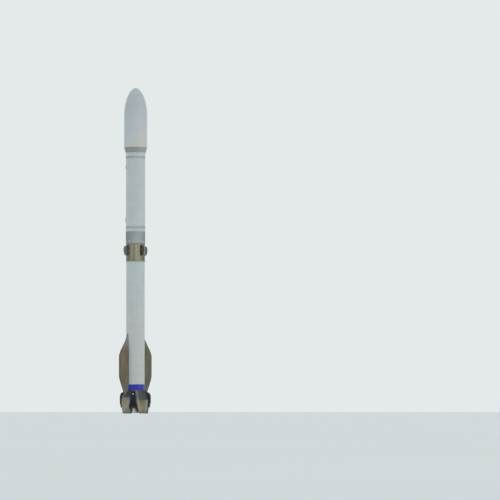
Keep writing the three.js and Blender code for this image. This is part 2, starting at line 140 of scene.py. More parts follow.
# The fairing's ring joints, and half the gap between its two halves in degrees.
FAIRING_JOINTS = [10.2, 10.7, SHOULDER, 11.6]
SPLIT_GAP = 0.16

# How dark the film on each of the forward module's panels is, from the front on towards +X.
MODULE_TONES = [0.6, 0.75, 0.9, 0.1, 0.35, 0.8, 0.15, 0.5, 0.25, 0.65, 0.1, 0.4,
                0.75, 0.2, 0.55, 0.05, 0.6, 0.3, 0.8, 0.7, 0.25, 0.6, 0.05, 0.15]
ROSE_PANELS = (2, 9, 14, 20)
# How dark the interstage is painted, every 30 degrees from the front on towards +X: painted shade, darkest
# round 60 and 240 degrees and lightest round 150 and 330.
INTERSTAGE_SHADE_TONES = [0.25, 0.65, 0.85, 0.5, 0.2, 0.0, 0.3, 0.7, 1.0, 0.75, 0.35, 0.0]

# A forward fin: its middle height, its seat on the body, its root and tip, and half its thickness there.
FIN_HEIGHT = 6.12
FIN_SEAT = 0.36
FIN_ROOT = FIN_SEAT + 7 * MM
FIN_TIP = 0.559
FIN_ROOT_HALF = 15 * MM
FIN_TIP_HALF = 7 * MM
FIN_SIDES = ("front", "right", "rear", "left")

# The aft end: height, radius of the thrust skirt, radius of the fairing, half angle left for a leg.
AFT = [
    {"z": 0.875, "skirt": 0.352, "fairing": 0.368, "leg_half": 7.2},
    {"z": 0.83, "skirt": 0.362, "fairing": 0.39, "leg_half": 7.8},
    {"z": 0.76, "skirt": 0.39, "fairing": 0.43, "leg_half": 8.8},
    {"z": 0.64, "skirt": 0.437, "fairing": 0.485, "leg_half": 10.0},
    {"z": 0.52, "skirt": 0.455, "fairing": 0.505, "leg_half": 11.4},
    {"z": 0.512, "skirt": 0.455, "fairing": 0.511, "leg_half": 11.5},
    {"z": 0.36, "skirt": 0.455, "fairing": 0.511, "leg_half": 15.0},
    {"z": 0.22, "skirt": 0.455, "fairing": 0.507, "leg_half": 18.8},
    {"z": 0.11, "skirt": 0.455, "fairing": 0.501, "leg_half": 23.0},
    {"z": 0.0, "skirt": 0.455, "fairing": 0.492, "leg_half": 26.0},
]
LEG_CLEARANCE = 0.9
# The raised border along both sides of an aft fairing: degrees, how far it stands out, and its bend.
RIM_WIDTH = 6.5
RIM_LIFT = 8 * MM
RIM_BEND = 0.8
# Where the fairings' two coats meet, the joints round them, and the height of the hold-down shoe.
COAT_HEIGHT = 0.516
AFT_JOINTS = [0.13, 0.3, COAT_HEIGHT, 0.68]
SHOE_HEIGHT = 14 * MM

# A landing leg, folded up: height, outer radius, half angle.
LEG = [
    {"z": 0.835, "outer": 0.4, "half": 7.4},
    {"z": 0.76, "outer": 0.53, "half": 8.7},
    {"z": 0.69, "outer": 0.57, "half": 9.4},
    {"z": 0.62, "outer": 0.584, "half": 10.1},
    {"z": 0.52, "outer": 0.584, "half": 11.3},
    {"z": 0.43, "outer": 0.584, "half": 13.2},
    {"z": 0.29, "outer": 0.556, "half": 16.7},
    {"z": 0.225, "outer": 0.53, "half": 18.5},
]
LEG_LOW = LEG[-1]["z"]
LEG_HIGH = LEG[0]["z"]
# How deep a leg's pan is, and the wells between its ribs, from low to high.
LEG_PAN = 10 * MM
LEG_WELLS = [(LEG_LOW + 0.055, 0.37), (0.385, 0.5), (0.515, 0.62), (0.635, 0.765)]
FOOT_HEIGHT = 0.725

# One strake's edge: height, reach from the axis, half thickness at the root.
STRAKE = [
    {"z": 3.0, "reach": 0.362, "root": 0.012},
    {"z": 2.75, "reach": 0.46, "root": 0.042},
    {"z": 2.3, "reach": 0.708, "root": 0.062},
    {"z": 2.21, "reach": 0.742, "root": 0.065},
    {"z": 2.13, "reach": 0.755, "root": 0.065},
    {"z": 1.44, "reach": 0.755, "root": 0.065},
    {"z": 1.35, "reach": 0.747, "root": 0.065},
    {"z": 1.25, "reach": 0.72, "root": 0.064},
    {"z": 0.92, "reach": 0.597, "root": 0.06},
    {"z": 0.7, "reach": 0.515, "root": 0.055},
]
# The radius of its edge and the steps round it, and where inside the booster it starts.
STRAKE_EDGE = 12 * MM
STRAKE_ARC = 6
STRAKE_INSIDE = BOOSTER_RADIUS - 8 * MM
# Joints across a strake by height, and along it by their share of the way from root to edge.
STRAKE_JOINTS = [0.98, 1.34, 1.74, 2.14, 2.5]
STRAKE_SEAMS = [0.17, 0.6]
STRAKE_SUNK = 1.6 * MM

# The view: the picture's width in pixels, what a pixel is on the model, and where the axis and base lie.
PHOTO_SIZE = 500
METRES_PER_PIXEL = 0.03758
AXIS_PIXEL = 135.3
BASE_PIXEL = 413.5
CAMERA_AZIMUTH = -36
CAMERA_DISTANCE = 150
CAMERA_HEIGHT = 0.05
# The lamp: its strength, how many degrees wide it is, where it stands and how high.
LAMP_STRENGTH = 0.27
LAMP_WIDTH = 35
LAMP_AZIMUTH = CAMERA_AZIMUTH + 60
LAMP_ELEVATION = 15


# Tables of sizes, read by height
def along_table(rows, column):
    """A function of height that runs smoothly through a table's rows and never past them."""
    rows = sorted(rows, key=lambda row: row["z"])
    heights = [row["z"] for row in rows]
    values = [row[column] for row in rows]
    slopes = []
    for i in range(len(rows) - 1):
        slopes.append((values[i + 1] - values[i]) / (heights[i + 1] - heights[i]))
    tangents = [slopes[0]]
    for before, after in zip(slopes, slopes[1:]):
        tangents.append(0.0 if before * after <= 0 else 2 * before * after / (before + after))
    tangents.append(slopes[-1])

    def value(z):
        z = min(max(z, heights[0]), heights[-1])
        i = 0
        while i < len(slopes) - 1 and z > heights[i + 1]:
            i += 1
        span = heights[i + 1] - heights[i]
        t = (z - heights[i]) / span
        rise = values[i] * (1 + 2 * t) * (1 - t) ** 2 + values[i + 1] * t * t * (3 - 2 * t)
        lean = tangents[i] * t * (1 - t) ** 2 - tangents[i + 1] * t * t * (1 - t)
        return rise + lean * span

    return value


SKIRT_AT = along_table(AFT, "skirt")


def stations(start, end, step, joints=(), width=0.0, depth=JOINT_DEPTH, edge=0.0, edge_width=0.0):
    """Positions from start to end, each with how far the surface is sunk there.

    A joint of some width is sunk by depth, and both ends are let down by edge over edge_width."""
    count = max(1, math.ceil((end - start) / step))
    marks = [(start + (end - start) * i / count, 0.0) for i in range(count + 1)]
    slope = width * 0.3
    for joint in joints:
        reach = width / 2 + slope
        ends = (marks[0], marks[-1])
        marks = [m for m in marks if m in ends or abs(m[0] - joint) > reach * 1.05]
        marks += [(joint - reach, 0.0), (joint - width / 2, depth)]
        marks += [(joint + width / 2, depth), (joint + reach, 0.0)]
    marks.sort()
    if edge:
        inside = [m for m in marks if start + edge_width < m[0] < end - edge_width]
        marks = [(start, edge), (start + edge_width, 0.0), *inside, (end - edge_width, 0.0), (end, edge)]
    return marks


# Surfaces, places and outlines
def on_body(radius_at):
    """The body's surface: a point at an azimuth and a height, lifted outwards."""

    def point(azimuth, z, lift):
        a = math.radians(azimuth)
        radius = radius_at(z) + lift
        return (radius * math.sin(a), -radius * math.cos(a), z)

    return point


def at_side(azimuth, radius, z):
    """A matrix whose x runs round the body, y outwards and z up, at a point of the body."""
    a = math.radians(azimuth)
    outward = Vector((math.sin(a), -math.cos(a), 0))
    tangent = Vector((math.cos(a), math.sin(a), 0))
    turned = Matrix((tangent, outward, Vector((0, 0, 1)))).transposed().to_4x4()
    return Matrix.Translation(outward * radius + Vector((0, 0, z))) @ turned


def circle(count, first=0.0):
    """Angles evenly round a circle."""
    return [first + 2 * math.pi * i / count for i in range(count)]


def disc_points(centre, side, other, radius, sides):
    """Points of a circle that lies across two directions."""
    return [tuple(centre + side * radius * math.cos(a) + other * radius * math.sin(a)) for a in circle(sides)]


def hoop(radius, z, tube, sides=8, flat=1.0):
    """The cross-section of a round bar that is bent to a hoop, as points of (radius, height)."""
    return [(radius + tube * math.sin(a), z - tube * flat * math.cos(a)) for a in circle(sides)]


def lip(radius, low, high):
    """The outline of a raised ring, with its two edges let down."""
    soft = 2 * MM
    return [(radius - soft, low), (radius, low + soft), (radius, high - soft), (radius - soft, high)]


# Building a piece
class Form:
    """Points and faces gathered for one piece. A face has a finish, which picks its material, and a tone."""

    def __init__(self):
        self.points = []
        self.faces = []
        self.finishes = []
        self.tones = []

    def add(self, points, faces, finish, tone, place=None):
        first = len(self.points)
        if place is not None:
            points = [tuple(place @ Vector(p)) for p in points]
        self.points.extend(points)
        for k, face in enumerate(faces):
            self.faces.append(tuple(first + i for i in face))
            self.finishes.append(finish[k] if isinstance(finish, list) else finish)
            self.tones.append(tone[k] if isinstance(tone, list) else tone)

    def turned(self, profile, steps=ROUND, finish=0, tone=0.5, centre=(0.0, 0.0), closed=False, wave=None,
               tone_at=None):
        """Turns a profile of (radius, height), listed upwards, about a vertical line through centre."""
        points = []
        rows = []
        for radius, z in profile:
            if radius < 1e-6:
                rows.append([len(points)] * steps)
                points.append((centre[0], centre[1], z))
                continue
            rows.append(range(len(points), len(points) + steps))
            for a in circle(steps):
                r = radius + (wave(a, z) if wave else 0.0)
                points.append((centre[0] + r * math.sin(a), centre[1] - r * math.cos(a), z))
        faces = []
        finishes = []
        tones = []
        pairs = list(zip(rows, rows[1:]))
        if closed:
            pairs.append((rows[-1], rows[0]))
        for k, (low, high) in enumerate(pairs):
            for i in range(steps):
                j = (i + 1) % steps
                face = tuple(dict.fromkeys((low[i], low[j], high[j], high[i])))
                if len(face) < 3:
                    continue
                faces.append(face)
                finishes.append(finish[k % len(finish)] if isinstance(finish, list) else finish)
                if tone_at:
                    tones.append(tone_at(360 * (i + 0.5) / steps))
                else:
                    tones.append(tone[k % len(tone)] if isinstance(tone, list) else tone)
        self.add(points, faces, finishes, tones)

    def skin(self, surface, across, along, thickness, finish=0, tone=0.5, both=False, finish_at=None,
             tone_at=None, back_finish=None):
        """A curved plate. across and along are stations; both sinks only where the two cross."""
        join = min if both else max
        outer = []
        inner = []
        for b, sunk_b in along:
            for a, sunk_a in across:
                outer.append(surface(a, b, -join(sunk_a, sunk_b)))
                inner.append(surface(a, b, -thickness))
        n = len(across)
        back = len(outer)
        faces = []
        finishes = []
        tones = []

        def put(face, k, i):
            faces.append(face)
            k = min(k, len(along) - 2)
            i = min(i, n - 2)
            a = (across[i][0] + across[i + 1][0]) / 2
            b = (along[k][0] + along[k + 1][0]) / 2
            finishes.append(finish_at(a, b) if finish_at else finish)
            tones.append(tone_at(a, b) if tone_at else tone)

        for k in range(len(along) - 1):
            for i in range(n - 1):
                p = k * n + i
                put((p, p + 1, p + n + 1, p + n), k, i)
                q = back + p
                put((q, q + n, q + n + 1, q + 1), k, i)
                if back_finish is not None:
                    finishes[-1] = back_finish
            left = k * n
            right = left + n - 1
            put((left, left + n, back + left + n, back + left), k, 0)
            put((right, back + right, back + right + n, right + n), k, n)
        upper = (len(along) - 1) * n
        for i in range(n - 1):
            put((i, back + i, back + i + 1, i + 1), 0, i)
            p = upper + i
            put((p, p + 1, back + p + 1, back + p), len(along), i)
        self.add(outer + inner, faces, finishes, tones)

    def loft(self, rings, finish=0, tone=0.5, finish_at=None, tone_at=None, place=None):
        """A closed skin over rings of points, counterclockwise from above, lowest ring first."""
        n = len(rings[0])
        faces = []
        finishes = []
        tones = []
        for k in range(len(rings) - 1):
            for i in range(n):
                j = (i + 1) % n
                faces.append((k * n + i, k * n + j, (k + 1) * n + j, (k + 1) * n + i))
                finishes.append(finish_at(k, i) if finish_at else finish)
                tones.append(tone_at(k, i) if tone_at else tone)
        last = (len(rings) - 1) * n
        faces.append(tuple(reversed(range(n))))
        faces.append(tuple(range(last, last + n)))
        finishes += [finish, finish]
        tones += [tone, tone]
        self.add([p for ring in rings for p in ring], faces, finishes, tones, place)

    def brick(self, place, size, centre=(0, 0, 0), chamfer=1.5 * MM, finish=0):
        """A block with its edges taken off."""
        half = [s / 2 for s in size]
        corners = [(x, y, z) for x in (-1, 1) for y in (-1, 1) for z in (-1, 1)]
        points = []
        number = {}
        for corner in corners:
            for face_axis in range(3):
                point = []
                for axis in range(3):
                    pulled = half[axis] - (0 if axis == face_axis else chamfer)
                    point.append(centre[axis] + corner[axis] * pulled)
                number[corner, face_axis] = len(points)
                points.append(tuple(point))
        faces = []
        for axis in range(3):
            u, v = [k for k in range(3) if k != axis]
            for sign in (-1, 1):
                loop = []
                for su, sv in ((-1, -1), (1, -1), (1, 1), (-1, 1)):
                    corner = [0, 0, 0]
                    corner[axis], corner[u], corner[v] = sign, su, sv
                    loop.append(number[tuple(corner), axis])
                faces.append(tuple(loop))
            for su in (-1, 1):
                for sv in (-1, 1):
                    low = [0, 0, 0]
                    high = [0, 0, 0]
                    low[axis], low[u], low[v] = -1, su, sv
                    high[axis], high[u], high[v] = 1, su, sv
                    low, high = tuple(low), tuple(high)
                    faces.append((number[low, u], number[high, u], number[high, v], number[low, v]))
        faces += [tuple(number[corner, axis] for axis in range(3)) for corner in corners]
        self.add(points, faces, finish, 0.5, place)

    def rod(self, start, end, radius, end_radius, sides, finish, place=None):
        """A round bar or a cone between two points, with its ends slightly rounded off."""
        start, end = Vector(start), Vector(end)
        along = (end - start).normalized()
        side = along.orthogonal().normalized()
        other = along.cross(side)
        length = (end - start).length
        soft = min(radius, end_radius, length / 2) * 0.2
        rows = [(0.0, radius - soft), (soft, radius)]
        rows += [(length - soft, end_radius), (length, end_radius - soft)]
        rings = [disc_points(start + along * far, side, other, r, sides) for far, r in rows]
        self.loft(rings, finish, place=place)

    def pipe(self, route, radius, finish):
        """A bent pipe along a route of points."""
        route = [Vector(p) for p in route]
        side = None
        rings = []
        for i, point in enumerate(route):
            ahead = route[min(i + 1, len(route) - 1)] - route[max(i - 1, 0)]
            ahead.normalize()
            if side is None:
                side = ahead.orthogonal().normalized()
            side = (side - ahead * side.dot(ahead)).normalized()
            rings.append(disc_points(point, side, ahead.cross(side), radius, 10))
        self.loft(rings, finish)

    def stud(self, place, radius, height, finish, sides=6):
        """A bolt head that stands on a surface: the place's y points outwards."""
        self.rod((0, -0.5 * MM, 0), (0, height, 0), radius, radius * 0.82, sides, finish, place)

    def stud_ring(self, radius, heights, size, height, finish):
        """Bolt heads round the body at some heights."""
        for k in range(RING_STUDS):
            for z in heights:
                self.stud(at_side(360 * k / RING_STUDS, radius, z), size, height, finish=finish)

    def bolt_circle(self, place, count, radius, out, size, height, finish, first=0):
        """Bolt heads on a circle that faces outwards, some way out from a place."""
        for a in circle(count, math.radians(first)):
            spot = Matrix.Translation((radius * math.cos(a), out, radius * math.sin(a)))
            self.stud(place @ spot, size, height, finish=finish)

    def cover(self, radius, azimuth, half, ends, thickness, shares, levels, tone, step=2.5, edge=1.2 * MM,
              sides=6, finish=0):
        """A thin plate on the body with its edges let down, and studs of finish 2 at shares of its half
        width and at levels."""
        across = stations(azimuth - half, azimuth + half, step, edge=edge, edge_width=0.3)
        along = stations(*ends, 0.05, edge=edge, edge_width=2 * MM)
        self.skin(on_body(lambda z: radius), across, along, thickness, finish, tone)
        for share in shares:
            for z in levels:
                self.stud(at_side(azimuth + share * half, radius, z), 2.2 * MM, 1.2 * MM, 2, sides)


def cut(piece, tool, operation):
    """Takes a tool's solid away from a piece, or keeps only what the two share."""
    mesh = bpy.data.meshes.new("cutter")
    mesh.from_pydata(tool.points, [], tool.faces)
    cutter = bpy.data.objects.new("cutter", mesh)
    bpy.context.scene.collection.objects.link(cutter)
    step = piece.modifiers.new("cut", "BOOLEAN")
    step.operation = operation
    step.solver = "EXACT"
    step.object = cutter
    seen = piece.evaluated_get(bpy.context.evaluated_depsgraph_get())
    piece.data = bpy.data.meshes.new_from_object(seen)
    piece.modifiers.clear()
    bpy.data.objects.remove(cutter)
    bpy.data.meshes.remove(mesh)
    # Points that fall together on the cut are joined, so that no sliver is left there.
    shape = bmesh.new()
    shape.from_mesh(piece.data)
    bmesh.ops.remove_doubles(shape, verts=shape.verts, dist=WELD)
    shape.to_mesh(piece.data)
    shape.free()


def make_piece(form, name, finishes, stands_for=(), body="root", cuts=()):
    """Turns a form into a piece that rides on a body, with one material for each finish number."""
    mesh = bpy.data.meshes.new(name)
    mesh.from_pydata(form.points, [], form.faces)
    for material in finishes:
        mesh.materials.append(material)
    mesh.polygons.foreach_set("material_index", form.finishes)
    mesh.polygons.foreach_set("use_smooth", [True] * len(form.faces))
    tone = mesh.attributes.new("tone", "FLOAT", "FACE")
    tone.data.foreach_set("value", form.tones)
    shape = bmesh.new()
    shape.from_mesh(mesh)
    bmesh.ops.recalc_face_normals(shape, faces=shape.faces)
    shape.to_mesh(mesh)
    shape.free()
    piece = bpy.data.objects.new(name, mesh)
    bpy.context.scene.collection.objects.link(piece)
    for tool, operation in cuts:
        cut(piece, tool, operation)
    piece.data.set_sharp_from_angle(angle=math.radians(SOFT_ANGLE))
    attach(piece, body)
    if stands_for:
        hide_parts(*stands_for)


# Materials
def linear(hex_text):
    """An sRGB hex colour as linear values."""
    values = []
    for i in (0, 2, 4):
        v = int(hex_text[i : i + 2], 16) / 255
        values.append(v / 12.92 if v <= 0.04045 else ((v + 0.055) / 1.055) ** 2.4)
    return (*values, 1.0)


def add_node(tree, kind, inputs=None, **settings):
    """Adds a node with its settings; inputs gives its sockets' values, or the sockets that they link to."""
    made = tree.nodes.new("ShaderNode" + kind)
    for key, value in settings.items():
        setattr(made, key, value)
    for key, value in (inputs or {}).items():
        if isinstance(value, bpy.types.NodeSocket):
            tree.links.new(value, made.inputs[key])
        else:
            made.inputs[key].default_value = value
    return made


class Finish:
    """One material under way. Each step lays a colour, a gloss or a relief over what is there."""

    def __init__(self, name, base, metallic=0.0, roughness=0.5, **shader):
        self.material = bpy.data.materials.new(name)
        self.material.use_nodes = True
        self.tree = self.material.node_tree
        self.shader = self.tree.nodes["Principled BSDF"]
        self.shader.inputs["Metallic"].default_value = metallic
        self.shader.inputs["Roughness"].default_value = roughness
        for key, value in shader.items():
            self.shader.inputs[key.replace("_", " ")].default_value = value
        self.place = add_node(self.tree, "TexCoord").outputs["Object"]
        self.colour = linear(base)
        self.normal = None

    def pattern(self, size_mm, detail, stretch=(1, 1, 1), rough=0.55):
        """Soft cloudy noise whose blotches are size_mm across, drawn out by stretch."""
        scale = [1 / (size_mm * MM * s) for s in stretch]
        placed = add_node(self.tree, "Mapping", {"Vector": self.place, "Scale": scale}).outputs[0]
        inputs = {"Vector": placed, "Scale": 1.0, "Detail": detail, "Roughness": rough}
        return add_node(self.tree, "TexNoise", inputs).outputs["Fac"]

    def lay(self, colour, where, start, full, most=1.0):
        """Lays a colour over what is there: none of it where a pattern is at start, most of it at full."""
        inputs = {"Value": where, 1: start, 2: full, 3: 0.0, 4: most}
        share = add_node(self.tree, "MapRange", inputs).outputs[0]
        inputs = {0: share, 6: self.colour, 7: linear(colour)}
        self.colour = add_node(self.tree, "Mix", inputs, data_type="RGBA").outputs[2]
        self.tree.links.new(self.colour, self.shader.inputs["Base Color"])

    def lay_by_panel(self, colour, most):
        """Lays a colour over each panel as far as the panel's own tone says."""
        tone = add_node(self.tree, "Attribute", attribute_name="tone").outputs["Fac"]
        self.lay(colour, tone, 0, 1, most)

    def ragged(self, distance, clouds, reach):
        """A distance whose lines waver with the clouds, so that what is laid by it has a ragged edge."""
        inputs = {"Value": clouds, 1: 0, 2: 1, 3: -reach, 4: reach}
        waver = add_node(self.tree, "MapRange", inputs).outputs[0]
        return add_node(self.tree, "Math", {0: distance, 1: waver}, operation="ADD").outputs[0]

    def gloss(self, where, low, high):
        """Roughness that follows a pattern."""
        inputs = {"Value": where, 1: 0.25, 2: 0.75, 3: low, 4: high}
        rough = add_node(self.tree, "MapRange", inputs).outputs[0]
        self.tree.links.new(rough, self.shader.inputs["Roughness"])

    def relief(self, where, depth_mm, strength):
        """Bump of a real depth, laid over any bump before it."""
        inputs = {"Height": where, "Distance": depth_mm * MM, "Strength": strength}
        if self.normal is not None:
            inputs["Normal"] = self.normal
        self.normal = add_node(self.tree, "Bump", inputs).outputs[0]
        self.tree.links.new(self.normal, self.shader.inputs["Normal"])


def sprayed_paint(name, light, dark, stain, roughness=0.42, fades=(), soot_and_shade=None):
    """Polyurethane topcoat or epoxy primer, sprayed: satin, faintly clouded, with thin rain streaks.

    Each fade gives a direction, where along it the tint starts and is full, and the tint; the fades are
    painted light and shade. A dark colour given for panels darkens whole panels by their tone, and so does
    the dark paint, more faintly, where none is given; on the interstage that colour is painted shade."""
    paint = Finish(name, light, roughness=roughness, Coat_Weight=0.12, Coat_Roughness=0.25)
    paint.lay(dark, paint.pattern(420, 3), 0.3, 0.7)
    # On the interstage the dark colour laid here by panel tone is painted shade.
    paint.lay_by_panel(soot_and_shade or dark, 0.9 if soot_and_shade else 0.5)
    for direction, start, full, tint in fades:
        inputs = {0: paint.place, 1: direction}
        along = add_node(paint.tree, "VectorMath", inputs, operation="DOT_PRODUCT").outputs["Value"]
        paint.lay(tint, along, start, full, most=0.85)
    paint.lay(stain, paint.pattern(45, 5, stretch=(1, 1, 22)), 0.56, 0.78, most=0.28)
    grime = paint.pattern(160, 8, rough=0.7)
    paint.lay(stain, grime, 0.6, 0.85, most=0.18)
    paint.gloss(grime, roughness - 0.07, roughness + 0.12)
    # Orange peel is about 2 mm across on the real skin and is drawn at 7 mm so that it shows.
    paint.relief(paint.pattern(7, 2), 0.12, 0.35)
    paint.relief(paint.pattern(90, 2), 0.5, 0.3)
    return paint.material


def gold_film(name, light, deep, dark):
    """Aluminised polyimide film, taped in strips: pale gold and crinkled, some strips browned by heat."""
    film = Finish(name, deep, metallic=0.55, roughness=0.4)
    film.lay(light, film.pattern(70, 6, stretch=(1, 1, 3.5), rough=0.65), 0.3, 0.7)
    film.lay_by_panel(dark, 0.85)
    folds = film.pattern(26, 7, stretch=(1, 1, 5), rough=0.7)
    film.lay("5A5540", folds, 0.55, 0.8, most=0.55)
    film.gloss(folds, 0.3, 0.55)
    film.relief(folds, 2.5, 0.6)
    film.relief(film.pattern(9, 4, rough=0.7), 0.8, 0.4)
    return film.material


def ablator(name, pale, deep, char, flow, fades=(), depth=0.6, mottle=1.0, scuff=None):
    """Silicone ablator, sprayed and baked: dull, mottled, streaked along the air's flow.

    Each fade gives the heights where a tint starts and is full; scuffs lie below the height given."""
    coat = Finish(name, pale, roughness=0.62)
    clouds = coat.pattern(130, 6, stretch=(1, 1, 2.5), rough=0.62)
    coat.lay(deep, clouds, 0.3, 0.7, most=mottle)
    coat.lay_by_panel(deep, depth)
    coat.lay(char, coat.pattern(16, 5, stretch=(1, 1, flow), rough=0.6), 0.5, 0.78, most=0.5)
    height = add_node(coat.tree, "SeparateXYZ", {0: coat.place}).outputs["Z"]
    if fades:
        edge = coat.ragged(height, clouds, 0.05)
    for start, full, tint in fades:
        coat.lay(tint, edge, start, full, most=0.85)
    if scuff:
        top, tint = scuff
        inputs = {"Value": height, 1: top, 2: top * 0.6, 3: 0.0, 4: 0.65}
        low_down = add_node(coat.tree, "MapRange", inputs).outputs[0]
        coat.lay(tint, coat.pattern(75, 5, stretch=(1, 1, 1.6), rough=0.65), 0.46, 0.62, most=low_down)
    coat.gloss(clouds, 0.5, 0.75)
    # The sprayed grain is 3 mm on the real coat and is drawn at 6 mm so that it shows.
    coat.relief(coat.pattern(6, 3, rough=0.7), 0.35, 0.5)
    coat.relief(clouds, 1.5, 0.25)
    return coat.material


def laminate(name, deep, pale, fade=None, shine=0.5, soot_and_shade=None):
    """Carbon fibre laminate, laid up and cured: near black satin with a fine slanted weave.

    A fade gives how far from the axis a tint starts and is full, and the tint. A dark colour given for panels
    darkens whole panels by their tone: on the fins that is painted shade, set fin by fin."""
    skin = Finish(name, deep, Coat_Weight=shine / 2, Coat_Roughness=0.2, Specular_IOR_Level=shine)
    # A tow is 2 mm wide on the real laminate and is drawn at 9 mm so that it shows.
    tow = [1 / (9 * MM)] * 3
    slanted = {"Vector": skin.place, "Rotation": (0.6, 0.4, 0.785), "Scale": tow}
    turned = add_node(skin.tree, "Mapping", slanted).outputs[0]
    weave = add_node(skin.tree, "TexChecker", {"Vector": turned, "Scale": 1.0}).outputs["Fac"]
    clouds = skin.pattern(110, 5, rough=0.6)
    skin.lay(pale, clouds, 0.3, 0.7)
    skin.lay(pale, weave, 0, 1, most=0.22)
    if fade:
        start, full, tint = fade
        inputs = {0: skin.place, 1: (1, 1, 0)}
        level = add_node(skin.tree, "VectorMath", inputs, operation="MULTIPLY").outputs[0]
        away = add_node(skin.tree, "VectorMath", {0: level}, operation="LENGTH").outputs["Value"]
        skin.lay(tint, skin.ragged(away, clouds, 0.03), start, full, most=0.9)
    # On the fins the dark colour laid here by panel tone is painted shade.
    if soot_and_shade:
        skin.lay_by_panel(soot_and_shade, 0.8)
    skin.gloss(clouds, 0.34, 0.55)
    skin.relief(weave, 0.15, 0.3)
    return skin.material


def enamel_blue():
    """Two-pack enamel, rolled on: deep blue, half gloss, slightly uneven in cover."""
    coat = Finish("enamel_blue_rolled", "0616A0", roughness=0.32, Coat_Weight=0.25, Coat_Roughness=0.15)
    clouds = coat.pattern(90, 5, stretch=(2.5, 2.5, 1))
    coat.lay("1024B4", clouds, 0.3, 0.72)
    coat.lay("3046CC", coat.pattern(30, 6), 0.6, 0.85, most=0.4)
    coat.gloss(clouds, 0.24, 0.42)
    # The roller's stipple is 3 mm across on the real coat and is drawn at 12 mm so that it shows.
    coat.relief(coat.pattern(12, 3), 0.2, 0.3)
    return coat.material


def quilted_cloth(name, pale, deep, seam):
    """Silica cloth blanket, quilted: matt pillows between stitched lines, dark along the seams."""
    cloth = Finish(name, pale, roughness=0.85, Sheen_Weight=0.2)
    # How full a pillow is follows the nearest of the seams that cross along the three axes.
    inputs = {0: cloth.place, 1: [math.pi / QUILT_PITCH] * 3}
    wave = add_node(cloth.tree, "VectorMath", inputs, operation="MULTIPLY").outputs[0]
    for step in ("SINE", "ABSOLUTE"):
        wave = add_node(cloth.tree, "VectorMath", {0: wave}, operation=step).outputs[0]
    nearest, *others = add_node(cloth.tree, "SeparateXYZ", {0: wave}).outputs
    for other in others:
        nearest = add_node(cloth.tree, "Math", {0: nearest, 1: other}, operation="MINIMUM").outputs[0]
    fullness = add_node(cloth.tree, "MapRange", {"Value": nearest, 1: 0.0, 2: 0.35}).outputs[0]
    cloth.lay(deep, cloth.pattern(120, 6, rough=0.65), 0.3, 0.7)
    cloth.lay(seam, fullness, 0.6, 0.0, most=0.7)
    # Threads are under 1 mm thick on the real cloth and are drawn at 5 mm so that they show.
    threads = cloth.pattern(5, 2, stretch=(1, 4, 1))
    cloth.lay("8F9190", threads, 0.4, 0.7, most=0.25)
    cloth.relief(fullness, 3.0, 0.6)
    cloth.relief(threads, 0.3, 0.4)
    return cloth.material


def nozzle_alloy():
    """Nickel alloy tubes, brazed and fired: pale dull metal, faintly straw to violet towards the exit."""
    # The near-white base and low metallic keep the bells pale where they stand in the skirt's shade: partly
    # the alloy's pale colour, partly painted light.
    metal = Finish("nickel_alloy_brazed", "F4F1DF", metallic=0.1, roughness=0.45)
    clouds = metal.pattern(60, 6, stretch=(1, 1, 2), rough=0.6)
    metal.lay("E0DDCB", clouds, 0.3, 0.7)
    height = add_node(metal.tree, "SeparateXYZ", {0: metal.place}).outputs["Z"]
    heat = metal.ragged(height, clouds, 0.02)
    metal.lay("C6BAA4", heat, 0.16, 0.1, most=0.3)
    metal.lay("A8A5AB", heat, 0.06, 0.03, most=0.3)
    metal.lay("7B7669", metal.pattern(35, 7), 0.58, 0.8, most=0.4)
    metal.gloss(clouds, 0.34, 0.55)
    # The braze's grain is under 1 mm on the real tubes and is drawn at 4 mm so that it shows.
    metal.relief(metal.pattern(4, 2), 0.2, 0.3)
    return metal.material


def sooted_alloy():
    """Nozzle lining after firing: soot-black metal with pale ash streaks towards the exit."""
    lining = Finish("nickel_alloy_brazed_sooted", "2D2B29", metallic=0.4, roughness=0.6)
    streaks = lining.pattern(8, 5, stretch=(1, 1, 14))
    lining.lay("4B4743", streaks, 0.35, 0.7)
    height = add_node(lining.tree, "SeparateXYZ", {0: lining.place}).outputs["Z"]
    lining.lay("7B766D", height, 0.16, 0.03, most=0.5)
    lining.gloss(streaks, 0.45, 0.7)
    lining.relief(streaks, 0.4, 0.3)
    return lining.material


def brushed_metal(name, pale, deep, roughness=0.35):
    """Steel, brushed or, where dark, brushed and blackened: fine lines in one direction and dull smears."""
    metal = Finish(name, pale, metallic=0.9, roughness=roughness)
    # Brush lines are under 1 mm wide on the real steel and are drawn at 3 mm so that they show.
    lines = metal.pattern(3, 3, stretch=(1, 1, 12))
    metal.lay(deep, metal.pattern(40, 5, rough=0.6), 0.3, 0.7)
    metal.lay(deep, lines, 0.35, 0.7, most=0.25)
    metal.gloss(lines, roughness - 0.06, roughness + 0.14)
    metal.relief(lines, 0.12, 0.3)
    return metal.material


def seal_rubber():
    """Fluorosilicone seal, moulded: dark grey and dull, dusty on its high spots."""
    seal = Finish("fluorosilicone_moulded", "34383A", roughness=0.8)
    dust = seal.pattern(25, 5)
    seal.lay("54595A", dust, 0.4, 0.75)
    seal.relief(dust, 0.4, 0.4)
    return seal.material


def floor_paint():
    """Wall paint, rolled on a studio floor: matt and pale, with hardly a cloud in it."""
    paint = Finish("emulsion_rolled", "F0F1F0", roughness=0.9)
    paint.lay("EEEFEE", paint.pattern(900, 3), 0.3, 0.7)
    return paint.material
